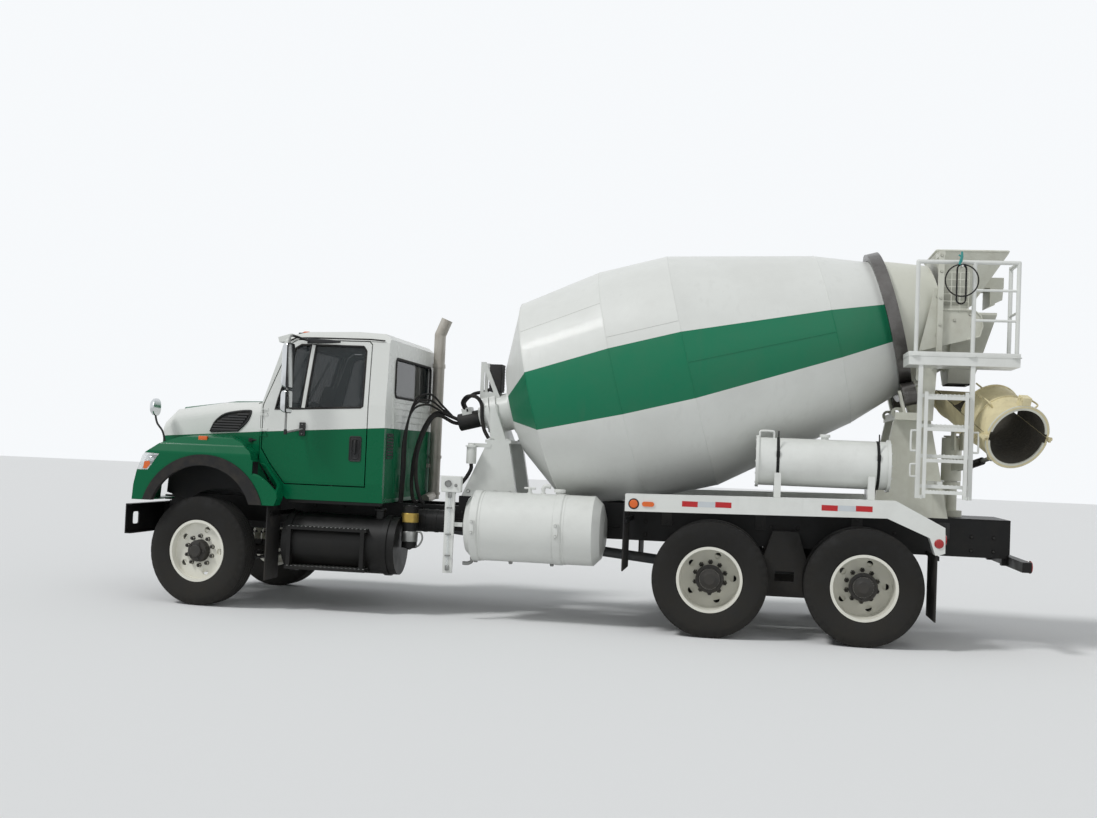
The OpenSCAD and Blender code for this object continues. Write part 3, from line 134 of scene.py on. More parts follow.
def finish(name, colour, rough, film=0.10, patch=400, dust=0.0, streak=0.0, grain=0, bump=0.0,
           dirt="6b6459", pattern=None, **sockets):
    """Principled material with its dirt. patch and grain are the sizes in millimetres of its patches and its
    surface; film, dust and streak are the strengths of the thin film, the dust low down and the runs from
    above."""
    mat = plain(name, colour, rough, **sockets)
    tree = mat.node_tree
    shader = tree.nodes["Principled BSDF"]
    place = add_node(tree, "ShaderNodeTexCoord").outputs["Object"]
    cloud = add_node(tree, NOISE, {"Scale": 1000 / patch, "Detail": 6.0, "Roughness": 0.65, "Vector": place})
    cover = add_node(tree, RANGE, {"Value": cloud, **span(0.42, 0.78, 0.0, film)})
    if dust:
        height = add_node(tree, "ShaderNodeSeparateXYZ", {"Vector": place}).outputs[2]
        fading = add_node(tree, RANGE, {"Value": height, **span(0.15, 1.25, dust, 0.0)})
        patchy = add_node(tree, RANGE, {"Value": cloud, **span(0.3, 0.62, 0.35, 1.0)})
        settled = add_node(tree, MATH, {0: fading, 1: patchy}, operation="MULTIPLY")
        cover = add_node(tree, MATH, {0: cover, 1: settled}, operation="MAXIMUM")
    if streak:
        run = add_node(tree, "ShaderNodeMapping", {"Scale": (18.0, 18.0, 1.3), "Vector": place})
        lines = add_node(tree, NOISE, {"Scale": 1.0, "Detail": 4.0, "Vector": run})
        runs = add_node(tree, RANGE, {"Value": lines, **span(0.52, 0.74, 0.0, streak)})
        cover = add_node(tree, MATH, {0: cover, 1: runs}, operation="MAXIMUM")
    base = pattern(tree, place) if pattern else linear(colour)
    dirty = add_node(tree, MIX, {"Factor": cover, 6: base, 7: linear(dirt)}, data_type="RGBA")
    tree.links.new(dirty.outputs[2], shader.inputs["Base Color"])
    sheen = add_node(tree, RANGE, {"Value": cloud, **span(0.3, 0.7, rough * 0.85, min(1.0, rough * 1.25))})
    tree.links.new(sheen.outputs[0], shader.inputs["Roughness"])
    if grain:
        grit = add_node(tree, NOISE, {"Scale": 1000 / grain, "Detail": 3.0, "Vector": place})
        dent = add_node(tree, "ShaderNodeBump", {"Strength": bump, "Distance": grain / 4000, "Height": grit})
        tree.links.new(dent.outputs[0], shader.inputs["Normal"])
    return mat


# Line between the cab's two paints: its height at the front axle and its rise
PAINT_Z, PAINT_RISE = 1.673, 0.065
# Green middle of the bonnet: half width and rear end
MIDDLE_HALF, MIDDLE_END = 0.40, 0.43


def two_tone(low, high):
    """Cab paint: low below a line that rises towards the rear, and on the bonnet's raised middle."""

    def paint(tree, place):
        x, y, z = add_node(tree, "ShaderNodeSeparateXYZ", {"Vector": place}).outputs
        foot = PAINT_Z - PAINT_RISE * FRONT_X
        line = add_node(tree, MATH, {0: x, 1: PAINT_RISE, 2: foot}, operation="MULTIPLY_ADD")
        below = add_node(tree, MATH, {0: z, 1: line}, operation="LESS_THAN")
        off_centre = add_node(tree, MATH, {0: y}, operation="ABSOLUTE")
        centre = add_node(tree, MATH, {0: off_centre, 1: MIDDLE_HALF}, operation="LESS_THAN")
        ahead = add_node(tree, MATH, {0: x, 1: FRONT_X + MIDDLE_END}, operation="LESS_THAN")
        raised = add_node(tree, MATH, {0: centre, 1: ahead}, operation="MULTIPLY")
        either = add_node(tree, MATH, {0: below, 1: raised}, operation="MAXIMUM")
        colours = {"Factor": either, 6: linear(high), 7: linear(low)}
        return add_node(tree, MIX, colours, data_type="RGBA").outputs[2]

    return paint


def drum_band(white, green, cream, low_edge, high_edge):
    """Drum paint: a green band along both sides between two angles above the axis, and cream behind the track
    ring."""

    def paint(tree, place):
        x, y, z = add_node(tree, "ShaderNodeSeparateXYZ", {"Vector": place}).outputs
        ahead = add_node(tree, MATH, {0: x, 1: DRUM_X + FRONT_X}, operation="SUBTRACT")
        rise = add_node(tree, MATH, {0: z, 1: DRUM_Z}, operation="SUBTRACT")
        drop = add_node(tree, MATH, {0: ahead, 1: -math.sin(DRUM_TILT)}, operation="MULTIPLY")
        climb = add_node(tree, MATH, {0: rise, 1: math.sin(DRUM_TILT)}, operation="MULTIPLY")
        height = add_node(tree, MATH, {0: rise, 1: math.cos(DRUM_TILT), 2: drop}, operation="MULTIPLY_ADD")
        along = add_node(tree, MATH, {0: ahead, 1: math.cos(DRUM_TILT), 2: climb}, operation="MULTIPLY_ADD")
        off_centre = add_node(tree, MATH, {0: y}, operation="ABSOLUTE")
        slope = add_node(tree, MATH, {0: height, 1: off_centre}, operation="DIVIDE")
        above = add_node(tree, MATH, {0: slope, 1: math.tan(low_edge)}, operation="GREATER_THAN")
        below = add_node(tree, MATH, {0: slope, 1: math.tan(high_edge)}, operation="LESS_THAN")
        inside = add_node(tree, MATH, {0: above, 1: below}, operation="MULTIPLY")
        colours = {"Factor": inside, 6: linear(white), 7: linear(green)}
        shell = add_node(tree, MIX, colours, data_type="RGBA").outputs[2]
        behind = add_node(tree, MATH, {0: along, 1: TRACK_T - 0.04}, operation="GREATER_THAN")
        colours = {"Factor": behind, 6: shell, 7: linear(cream)}
        return add_node(tree, MIX, colours, data_type="RGBA").outputs[2]

    return paint


FINISH = {}


def make_finishes(paint, band):
    """Makes every finish; the enamels take their colours from the panel."""
    white, green, rear = paint.white, paint.green, paint.rear
    banded = drum_band(white, paint.band, rear, band.low_edge, band.high_edge)
    FINISH.update(
        # Enamel sprayed on sheet steel: smooth and glossy, dulled in patches by road film
        white=finish("white_enamel", white, 0.34, film=0.16, patch=350, dust=0.22, streak=0.07,
                     Coat_Weight=0.15),
        # The same enamel in two colours, polished more often: clear soft reflections
        cab=finish("two_tone_enamel", white, 0.27, film=0.02, patch=500, dust=0.03, Coat_Weight=0.04,
                   Specular_IOR_Level=0.14, pattern=two_tone(green, white)),
        # The cab's back, which nobody polishes: the same green gone dull under diesel soot
        dull=finish("sooted_enamel", green, 0.55, film=0.10, patch=260, dust=0.10, dirt="3f443f",
                    Specular_IOR_Level=0.12),
        green=finish("green_enamel", green, 0.27, film=0.07, patch=500, Coat_Weight=0.25,
                     Specular_IOR_Level=0.35),
        # Enamel on rolled plate; the plate's slight waves, about 600 mm long, break up the reflections
        drum=finish("drum_enamel", white, 0.38, film=0.13, patch=800, streak=0.06, grain=600, bump=0.05,
                    Coat_Weight=0.06, Specular_IOR_Level=0.3, pattern=banded),
        # Old cream enamel that cement water has run over: chalky, with grey runs
        rear=finish("chalky_enamel", rear, 0.45, film=0.30, patch=220, dust=0.15, streak=0.18, dirt="8f866f"),
        # Wheel enamel: satin, with brake dust and dried mud
        cream=finish("wheel_enamel", paint.cream, 0.42, film=0.13, patch=110, dust=0.12, dirt="85796a"),
        # Chute paint worn by concrete: matt tan with rusty runs and grey splashes
        chute=finish("worn_chute_paint", "ddd2aa", 0.55, film=0.34, patch=160, streak=0.34, dirt="8a7856",
                     grain=25, bump=0.25),
        # Chassis enamel: black, half matt, dusty low down
        black=finish("chassis_enamel", "0c0d0e", 0.42, film=0.07, patch=200, dust=0.08,
                     Specular_IOR_Level=0.25),
        # Sand-cast iron, painted: the 3 mm grit is drawn 12 mm wide so that it shows from a few metres
        cast=finish("cast_iron", "121314", 0.62, film=0.20, patch=80, dust=0.30, grain=12, bump=0.35),
        # Engine and gearbox: grey paint over castings, oily film
        engine=finish("engine_enamel", "4a4c4e", 0.55, film=0.35, patch=120, grain=12, bump=0.3),
        # Moulded ABS and polypropylene: even, dull, a little chalky
        plastic=finish("moulded_polypropylene", "1b1c1e", 0.55, film=0.14, patch=180, Specular_IOR_Level=0.4),
        trim=finish("moulded_dashboard", "3a3b3d", 0.7, film=0.10, grain=8, bump=0.15),
        # Extruded EPDM seals, hoses and wing edges: matt black that greys with dust
        rubber=finish("epdm_rubber", "1b1b1c", 0.75, film=0.26, patch=120, dust=0.18,
                      Specular_IOR_Level=0.35),
        # Tyre rubber: carbon black, with dry grey dust on walls and tread
        tyre=finish("tyre_rubber", "141414", 0.82, film=0.18, patch=160, dust=0.20, dirt="5c5850", grain=10,
                    bump=0.3, Specular_IOR_Level=0.3),
        # Galvanised steel: dull zinc, patchy
        steel=finish("galvanised_steel", "8d8e8c", 0.42, film=0.22, patch=90, Metallic=0.85),
        # Track ring: steel that the rollers keep bright, with greasy dark bands
        track=finish("rolled_track_steel", "6a6866", 0.30, film=0.45, patch=70, dirt="35302b", Metallic=0.9),
        # Aluminised exhaust pipe: heat has turned it dull beige with darker runs
        stack=finish("aluminised_pipe", "b4b0a8", 0.5, film=0.35, patch=140, streak=0.30, dirt="857763",
                     Metallic=0.5),
        # Chromed sheet: mirror bright, slightly filmed
        chrome=finish("chrome_plate", "d4d6d8", 0.10, film=0.05, Metallic=1.0),
        # Acrylic lamp lenses: deep colour, smooth
        amber=finish("amber_acrylic", "dd620c", 0.18, film=0.06, patch=60, Coat_Weight=0.4),
        red=finish("red_acrylic", "a30d12", 0.18, film=0.06, patch=60, Coat_Weight=0.4),
        # Reflective tape: glass beads under film, bright and flat; its unevenness is drawn 20 mm wide
        tape_red=finish("red_reflective_tape", "b8141b", 0.3, film=0.10, patch=60, grain=20, bump=0.1),
        tape_silver=finish("silver_reflective_tape", "c6ccd0", 0.3, film=0.10, patch=60, grain=20, bump=0.1,
                           Metallic=0.2),
        # Clear polycarbonate over the headlamps, and laminated tinted glass: light passes through both
        lens=plain("clear_polycarbonate", "e4eaec", 0.04, Alpha=1.0 - 0.72),
        window=plain("tinted_glass", "1d2628", 0.04, Alpha=1.0 - 0.40),
        # Dried concrete: pale grey, lumpy; lumps of 30 mm
        soot=finish("dried_concrete", "8e887b", 0.9, film=0.5, patch=70, grain=30, bump=0.6),
        # Inside the drum and chutes: steel under a grey-brown skin of cement, its colour darkened to paint
        # the shade inside them
        inside=finish("cement_coat_and_painted_shade", "4d4a43", 0.9, film=0.45, patch=110, grain=30, bump=0.5),
        # Woven polyester seat cloth; its 2 mm threads are drawn 8 mm wide so that they show
        seat=finish("woven_polyester", "43474d", 0.95, film=0.12, patch=150, grain=8, bump=0.4,
                    Sheen_Weight=0.3),
        # Painted brass valve of the wash hose
        teal=finish("painted_brass", "2f8f8b", 0.35, film=0.15, patch=40),
        # Zinc-chromated steel of the fuel filter's head
        zinc=finish("yellow_zinc_plate", "b59a4e", 0.35, film=0.25, patch=40, Metallic=0.7),
    )


CAD_FINISH = {
    "black": ["chassis_frame", "front_bumper", "fuel_tank", "battery_box", "air_tanks", "lift_barrel"],
    "cast": ["front_axle", "rear_bogie", "knuckle_left", "knuckle_right", "tie_rod"],
    "engine": ["power_train"],
    "cab": ["cab_shell", "bonnet", "door_left", "door_right"],
    "window": ["cab_glass", "door_glass_left", "door_glass_right"],
    "trim": ["cab_interior"],
    "stack": ["exhaust_stack"],
    "white": ["water_tank", "front_pedestal", "drum_drive", "rear_wings", "aux_tank", "platform",
              "ladder_lower"],
    "rear": ["rear_pedestal", "charge_hopper", "collector", "chute_swivel"],
    "rubber": ["mud_flaps", "wing_flares", "wash_hose"],
    "amber": ["marker_lamps"],
    "chrome": ["grille", "mirror_left", "mirror_right"],
    "lens": ["headlamps"],
    "drum": ["drum"],
    "track": ["drum_track", "roller_left", "roller_right"],
    "chute": ["main_chute", "fold_chute"],
    "steel": ["lift_rod"],
    "cream": [f"rim_{axle}_{side}" for axle in AXLES for side in SIDES],
    "tyre": [f"tyre_{axle}_{side}" for axle in AXLES for side in SIDES],
}


def dress_nodes():
    """Gives every CAD node its finish."""
    for key, names in CAD_FINISH.items():
        for name in names:
            for holder in NODES[name].material_slots:
                holder.material = FINISH[key]


# Outlines and paths


def circle(count, radius, start=0.0):
    """Points of a circle, from an angle on."""
    angles = [start + 2 * math.pi * k / count for k in range(count)]
    return [(radius * math.cos(a), radius * math.sin(a)) for a in angles]


def rounded_box(half_w, half_h, radius, cx, cy, steps=5):
    """Points of a rounded rectangle."""
    out = []
    for k, (sx, sy) in enumerate(((1, 1), (-1, 1), (-1, -1), (1, -1))):
        for i in range(steps + 1):
            a = math.pi / 2 * (k + i / steps)
            out.append((cx + sx * (half_w - radius) + radius * math.cos(a),
                        cy + sy * (half_h - radius) + radius * math.sin(a)))
    return out


def band(inner, outer, half, flat):
    """Profile of a strap about an axis: flat is half the width of its outer face."""
    return [(inner, -half), (outer, -flat), (outer, flat), (inner, half), (inner, -half)]


def mirrored(points, side):
    """Points of the truck's right, moved to a side."""
    return [(x, side * y, z) for x, y, z in points]


def smooth_path(points, steps=8):
    """Curve through the points (Catmull-Rom)."""
    points = [at(p) for p in points]
    padded = [points[0] * 2 - points[1], *points, points[-1] * 2 - points[-2]]
    out = []
    for i in range(1, len(padded) - 2):
        a, b, c, d = padded[i - 1:i + 3]
        for k in range(steps):
            t = k / steps
            out.append(0.5 * (2 * b + (c - a) * t + (2 * a - 5 * b + 4 * c - d) * t * t
                              + (3 * b - a - 3 * c + d) * t ** 3))
    out.append(points[-1])
    return out


def square_frame(direction):
    """Two axes square to a direction."""
    up = Vector((0, 0, 1)) if abs(direction.z) < 0.9 else Vector((1, 0, 0))
    side = direction.cross(up).normalized()
    return side, side.cross(direction).normalized()


class Shape:
    """Mesh of one piece while it is built; its points may be tuples from the front axle."""

    def __init__(self):
        self.bm = bmesh.new()

    def row(self, points):
        """New vertices at the points."""
        return [self.bm.verts.new(at(p)) for p in points]

    def box(self, low, high, bevel=0.0):
        """Box between two corners, its edges rounded by bevel."""
        made = bmesh.ops.create_cube(self.bm, size=1.0)
        low, high = at(low), at(high)
        size = [b - a for a, b in zip(low, high)]
        centre = [(a + b) / 2 for a, b in zip(low, high)]
        for vert in made["verts"]:
            vert.co = Vector([c + s * v for c, s, v in zip(centre, size, vert.co)])
        if bevel:
            edges = list({edge for vert in made["verts"] for edge in vert.link_edges})
            bmesh.ops.bevel(self.bm, geom=edges, offset=bevel, segments=2, affect="EDGES", profile=0.6)

    def loft(self, rings, closed=False, caps=True):
        """Skin over rings of points with equal counts."""
        rows = [self.row(ring) for ring in rings]
        pairs = list(zip(rows, rows[1:])) + ([(rows[-1], rows[0])] if closed else [])
        for first, second in pairs:
            for i in range(len(first)):
                j = (i + 1) % len(first)
                self.bm.faces.new((first[i], first[j], second[j], second[i]))
        if caps and not closed:
            self.bm.faces.new(list(reversed(rows[0])))
            self.bm.faces.new(rows[-1])

    def slab(self, outline, ys):
        """Loft across the truck: an outline of (x, z), repeated at each y."""
        self.loft([[(x, y, z) for x, z in outline] for y in ys])

    def tube(self, points, radius, sides=12, closed=False):
        """Round tube along points; radius is one number or one for each point."""
        points = [at(p) for p in points]
        radii = radius if isinstance(radius, (list, tuple)) else [radius] * len(points)
        rings = []
        side = None
        for i, point in enumerate(points):
            before = points[i - 1] if i or closed else point
            after = points[(i + 1) % len(points)] if i < len(points) - 1 or closed else point
            along = (after - before).normalized()
            if side is None:
                side, _ = square_frame(along)
            side = (side - along * side.dot(along)).normalized()
            up = along.cross(side)
            rings.append([point + (side * c + up * s) * radii[i] for c, s in circle(sides, 1.0)])
        self.loft(rings, closed)

    def bend(self, points, radius, sides=12, steps=8):
        """Round tube along the curve through points."""
        self.tube(smooth_path(points, steps), radius, sides)

    def lathe(self, profile, origin, axis, steps=48):
        """Profile of (radius, distance along axis) turned about the axis; its ends meet the axis or close."""
        origin, axis = at(origin), Vector(axis).normalized()
        side, up = square_frame(axis)
        rows = [
            self.row([origin + (side * c + up * s) * r + axis * d for r, d in profile])
            for c, s in circle(steps, 1.0)
        ]
        for first, second in zip(rows, rows[1:] + rows[:1]):
            for i in range(len(profile) - 1):
                self.bm.faces.new((first[i], first[i + 1], second[i + 1], second[i]))
        bmesh.ops.remove_doubles(self.bm, verts=self.bm.verts, dist=1e-5)

    def bolt(self, place, axis, radius=0.009, height=0.008):
        """Hexagonal bolt head on its washer."""
        washer = radius * 1.3
        self.lathe([(0.0, height), (radius * 0.8, height), (radius, height * 0.7), (radius, 0.0),
                    (washer, 0.0), (washer, -0.002)], place, axis, 6)

    def strip(self, points, half_width, thick, normal):
        """Flat strip along points: half_width to each side, thick along normal."""
        points = [at(p) for p in points]
        out = Vector(normal).normalized()
        rings = []
        for i, point in enumerate(points):
            along = (points[min(i + 1, len(points) - 1)] - points[max(i - 1, 0)]).normalized()
            side = along.cross(out).normalized() * half_width
            edge, lift = side * 0.8, out * thick
            rings.append([point - side, point - edge + lift, point + edge + lift, point + side])
        self.loft(rings)

    def skin(self, rows):
        """Open surface over rows of points."""
        rows = [self.row(points) for points in rows]
        for a, b in zip(rows, rows[1:]):
            for i in range(len(a) - 1):
                self.bm.faces.new((a[i], a[i + 1], b[i + 1], b[i]))

    def sheet(self, first, second, step):
        """Thick strip between two lines of points; step leads from its front to its back."""
        a, b = self.row(first), self.row(second)
        c, d = self.row([p + step for p in first]), self.row([p + step for p in second])
        for i in range(len(a) - 1):
            self.bm.faces.new((a[i], a[i + 1], b[i + 1], b[i]))
            self.bm.faces.new((c[i], d[i], d[i + 1], c[i + 1]))
        front, back = a + b[::-1], c + d[::-1]
        for i in range(len(front)):
            j = (i + 1) % len(front)
            self.bm.faces.new((front[j], front[i], back[i], back[j]))

    def piece(self, name, finish_key, body="chassis", slot=None, angle=35):
        """Turns the mesh into a piece that rides on a body."""
        bmesh.ops.recalc_face_normals(self.bm, faces=self.bm.faces)
        mesh = bpy.data.meshes.new(name)
        self.bm.to_mesh(mesh)
        self.bm.free()
        mesh.materials.append(FINISH[finish_key])
        mesh.shade_smooth()
        mesh.set_sharp_from_angle(angle=math.radians(angle))
        obj = bpy.data.objects.new(name, mesh)
        bpy.context.scene.collection.objects.link(obj)
        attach(obj, body)
        return obj


# Wheels

KINGPIN_Y = 0.9
FRONT_TYRE_Y = 1.02
TWIN_Y = 0.9225
TWIN_HALF = 0.1675
STEER = math.radians(9)
WHEELS = [(axle, name, side) for axle in AXLES for name, side in SIDES.items()]

# Tyre's half section from bead to crown: radius, distance from its middle, and the share of a shoulder notch
# that each of the two takes
TYRE_HALF_SECTION = [
    (0.286, -0.103, 0, 0), (0.300, -0.104, 0, 0), (0.308, -0.121, 0, 0), (0.356, -0.135, 0, 0),
    (0.420, -0.1345, 0, 0), (0.455, -0.133, 0, 0), (0.466, -0.130, 0, 0), (0.470, -0.1285, 0, 0),
    (0.505, -0.118, 0, 1), (0.5195, -0.108, -0.5, 1), (AXLE_Z - 0.001, -0.099, 0, 0),
]
GROOVES = (-0.062, -0.021, 0.021, 0.062)
GROOVE_WAVE, NOTCH = 0.0035, 0.009


def wheel_frame(axle, side):
    """Matrix from a wheel's own frame (Y outward, middle of the tyre or twin) to the frame."""
    flip = Matrix.Diagonal((1, side, 1, 1))
    if axle == "front":
        pin = Matrix.Translation(spot(0, side * KINGPIN_Y, AXLE_Z)) @ Matrix.Rotation(-STEER, 4, "Z")
        return pin @ flip @ Matrix.Translation((0, FRONT_TYRE_Y - KINGPIN_Y, 0))
    x = MID_AXLE if axle == "mid" else REAR_AXLE
    return Matrix.Translation(spot(x, 0, AXLE_Z)) @ flip @ Matrix.Translation((0, TWIN_Y, 0))


def tyre_section(phase, depth):
    """Closed section of a tyre at one of a pitch's four phases: wavy grooves, and notches in the last."""
    wave = GROOVE_WAVE if phase < 2 else -GROOVE_WAVE
    notch = NOTCH if phase == 3 else 0.0
    half = [(r + cut_r * notch, y + cut_y * notch) for r, y, cut_r, cut_y in TYRE_HALF_SECTION]
    points = list(half)
    for groove in GROOVES:
        y = groove + (wave if abs(groove) < 0.05 else wave * 0.6)
        points += [(AXLE_Z, y - 0.0055), (AXLE_Z - depth, y - 0.003), (AXLE_Z - depth, y + 0.003),
                   (AXLE_Z, y + 0.0055)]
    return points + [(r, -y) for r, y in reversed(half)]


def make_tyres(tyres):
    """Treaded tyres in place of the plain ones."""
    for axle, name, side in WHEELS:
        shape = Shape()
        matrix = wheel_frame(axle, side)
        for offset in (0.0,) if axle == "front" else (-TWIN_HALF, TWIN_HALF):
            sections = [tyre_section(phase, tyres.tread_depth) for phase in range(4)]
            shape.loft([
                [matrix @ Vector((r * c, y + offset, r * s)) for r, y in sections[k % 4]]
                for k, (c, s) in enumerate(circle(tyres.pitches * 4, 1.0))
            ], closed=True)
        plain_tyre = f"tyre_{axle}_{name}"
        treaded = shape.piece(f"treaded_{plain_tyre}", "tyre", f"wheel_{axle}_{name}", angle=40)
        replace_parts(treaded, plain_tyre)


# Hub's profile, its number of bolts with their circle's radius and distance out, and the rim's face under the
# nuts
HUBS = {
    "front": ([(0.0, 0.150), (0.052, 0.150), (0.060, 0.142), (0.062, 0.118), (0.098, 0.112), (0.104, 0.100),
               (0.108, 0.048)], 5, 0.080, 0.112, 0.047),
    "drive": ([(0.0, 0.216), (0.050, 0.216), (0.060, 0.208), (0.086, 0.204), (0.0945, 0.198),
               (0.0955, 0.1765), (0.127, 0.1755), (0.1295, 0.172), (0.1295, 0.159), (0.098, 0.155),
               (0.106, 0.014)],
              8, 0.112, 0.176, 0.015),
}
STUD_NUT = [(0.0, 0.044), (0.010, 0.044), (0.012, 0.034), (0.0185, 0.031), (0.0195, 0.004), (0.024, 0.0)]
STUDS, STUD_CIRCLE_R = 10, 0.142875


def make_hubs():
    """Hub caps with their bolts, and the stud nuts."""
    for axle, name, side in WHEELS:
        matrix = wheel_frame(axle, side)
        hub, nuts = Shape(), Shape()
        profile, bolts, ring, face, disc = HUBS["front" if axle == "front" else "drive"]

        def turned(shape, section, centre, steps):
            origin = matrix @ Vector(centre)
            shape.lathe(section, origin, matrix @ (Vector(centre) + Vector((0, 1, 0))) - origin, steps)

        turned(hub, profile, (0, 0, 0), 40)
        for x, z in circle(bolts, ring):
            turned(hub, [(0.0, 0.016), (0.011, 0.016), (0.011, -0.004)], (x, face, z), 6)
        for x, z in circle(STUDS, STUD_CIRCLE_R, math.pi / STUDS):
            turned(nuts, STUD_NUT, (x, disc, z), 6)
        hub.piece(f"hub_{axle}_{name}", "cast", f"wheel_{axle}_{name}", "cream_paint")
        nuts.piece(f"stud_nuts_{axle}_{name}", "cast", f"wheel_{axle}_{name}", "cream_paint")


# Bonnet

# Sections of the bonnet's middle: distance behind the axle, half width and top
BONNET_SLICES = [(-0.69, 0.600, 1.790), (-0.56, 0.640, 1.905), (0.0, 0.800, 1.985), (0.486, 0.980, 2.000)]
BONNET_CORNER = 0.13


def bonnet_size(x):
    """Half width and top height of the bonnet's middle at x."""
    for (xa, ha, ta), (xb, hb, tb) in zip(BONNET_SLICES, BONNET_SLICES[1:]):
        if x <= xb:
            t = (x - xa) / (xb - xa)
            return ha + (hb - ha) * t, ta + (tb - ta) * t
    return BONNET_SLICES[-1][1:]


def bonnet_side(x, z, out, side):
    """Point on the bonnet's side, out metres proud of it."""
    half, top = bonnet_size(x)
    rise = z - (top - BONNET_CORNER)
    if rise > 0:
        reach = BONNET_CORNER + out
        half += math.sqrt(max(reach ** 2 - rise ** 2, 0.0)) - BONNET_CORNER
    else:
        half += out
    return spot(x, side * half, z)


def make_raised_middle():
    """Raised middle of the bonnet, whose edges fade into the sheet."""
    shape = Shape()
    half, height, front, rear = 0.425, 0.030, -0.70, 0.475
    across = [-half * math.cos(math.pi * k / 24) for k in range(25)]
    rings = []
    for x in (-0.694, -0.68, -0.62, -0.55, -0.45, -0.3, -0.15, 0.0, 0.15, 0.3, 0.42, 0.455, 0.47):
        top = bonnet_size(x)[1]
        lift = height * min(1.0, math.sqrt(max(min(x - front, rear - x) / 0.05, 0.04)))
        ring = [(x, y, top + lift * (1 - (abs(y) / half) ** 24) - 0.002) for y in across]
        rings.append(ring + [(x, half, top - 0.010), (x, -half, top - 0.010)])
    shape.loft(rings)
    shape.piece("bonnet_raised_middle", "green", "bonnet", angle=30)


# Outline of the side intake, as (x, z), and its middle
INTAKE = [(-0.11, 1.694), (-0.055, 1.79), (0.05, 1.862), (0.20, 1.893), (0.345, 1.904), (0.372, 1.888),
          (0.33, 1.80), (0.232, 1.715), (0.20, 1.706), (0.05, 1.698), (-0.09, 1.690)]
INTAKE_X, INTAKE_Z = 0.13, 1.79


def make_intakes(name, side):
    """Slatted side intake and the dark screen behind its slats."""
    outline = smooth_path([Vector(p) for p in INTAKE], 4)
    slats = Shape()
    slats.tube([bonnet_side(p.x, p.y, 0.004, side) for p in outline], 0.011, 8, closed=True)
    for i in range(7):
        z = 1.712 + 0.026 * i
        front = -0.095 + 0.012 * i + 0.0011 * i ** 3
        rear = 0.226 + 0.021 * i
        points = [bonnet_side(front + (rear - front) * t / 6, z, 0.006, side) for t in range(7)]
        slats.strip(points, 0.010, 0.010, (0, side, 0.25))
    slats.piece(f"bonnet_intake_{name}", "plastic", "bonnet")

    screen = Shape()
    outer = screen.row([bonnet_side(p.x, p.y, 0.003, side) for p in outline])
    core = screen.row([
        bonnet_side(INTAKE_X + (p.x - INTAKE_X) * 0.5, INTAKE_Z + (p.y - INTAKE_Z) * 0.5, 0.003, side)
        for p in outline
    ])
    centre = screen.bm.verts.new(bonnet_side(INTAKE_X, INTAKE_Z, 0.003, side))
    for i in range(len(outer)):
        j = (i + 1) % len(outer)
        screen.bm.faces.new((outer[i], outer[j], core[j], core[i]))
        screen.bm.faces.new((core[i], core[j], centre))
    screen.piece(f"bonnet_intake_screen_{name}", "rubber", "bonnet")


def make_bonnet_trim():
    """Raised middle, slatted side intakes, wing lamps and latches."""
    make_raised_middle()
    for name, side in SIDES.items():
        make_intakes(name, side)
        lamp, latch = Shape(), Shape()
        lamp_y = side * 1.095
        lamp.box((-0.085, lamp_y - 0.02, 1.598), (0.005, lamp_y + 0.02, 1.640), 0.008)
        lamp.piece(f"wing_lamp_{name}", "amber", "bonnet", "amber_lens")
        hinge = spot(0.40, side * 0.955, 1.62)
        stem = [hinge, hinge + Vector((0.03, 0, 0)), hinge + Vector((0.055, 0, 0))]
        latch.tube(stem, [0.013, 0.010, 0.014], 10)
        latch.box(hinge + Vector((-0.03, -0.012, -0.018)), hinge + Vector((0.005, 0.012, 0.018)), 0.004)
        latch.box(hinge + Vector((0.05, -0.012, -0.035)), hinge + Vector((0.066, 0.012, 0.035)), 0.005)
        latch.piece(f"bonnet_latch_{name}", "rubber", "bonnet")


def make_splash_panels():
    """Thin black panels between engine bay and wheel, under the bonnet's sides."""
    shape = Shape()
    reach = 0.60
    angles = [math.radians(52 + 76 * k / 12) for k in range(13)]
    outline = [(reach * math.cos(a), 0.52 + reach * math.sin(a)) for a in angles]
    outline += [(-0.60, 1.06), (-0.58, 1.38), (-0.48, 1.50), (-0.30, 1.595), (-0.05, 1.63), (0.25, 1.62),
                (0.40, 1.54), (0.44, 1.06)]
    for side in SIDES.values():
        shape.slab(outline, (side * 0.638, side * 0.641))
    shape.piece("wing_splash_panels", "plastic", "bonnet")


def make_grille_trim():
    """Bright surround and bars, the dark screen behind them and the bare badge plate."""
    bars, screen, badge = Shape(), Shape(), Shape()
    half, low, high = 0.43, 1.25, 1.70
    bars.tube([(-0.70, y, z) for y, z in rounded_box(0.455, 0.25, 0.06, 0.0, 1.475)], 0.014, 8, closed=True)
    for i in range(9):
        z = 1.285 + 0.0475 * i
        rings = []
        for y in (-half, -0.2, 0.0, 0.2, half):
            x = -0.7015 + 0.006 * (abs(y) / half) ** 2
            rings.append([(x, y, z - 0.006), (x - 0.007, y, z), (x, y, z + 0.006), (x + 0.010, y, z)])
        bars.loft(rings)
    for y in (-0.2, 0.2):
        bars.box((-0.690, y - 0.005, low + 0.005), (-0.672, y + 0.005, high - 0.005), 0.002)
    bars.piece("grille_bars", "chrome", "bonnet")
    wire, mesh = 0.0015, 0.02
    for i in range(44):
        y = -half + mesh * i
        screen.box((-0.664, y - wire, low), (-0.6615, y + wire, high))
    for i in range(23):
        z = low + 0.002 + mesh * i
        screen.box((-0.6640, -half, z - wire), (-0.6625, half, z + wire))
    screen.piece("grille_screen", "plastic", "bonnet")
    badge.box((-0.700, -0.15, 1.765), (-0.690, 0.15, 1.790), 0.004)
    badge.piece("bare_badge_plate", "chrome", "bonnet")


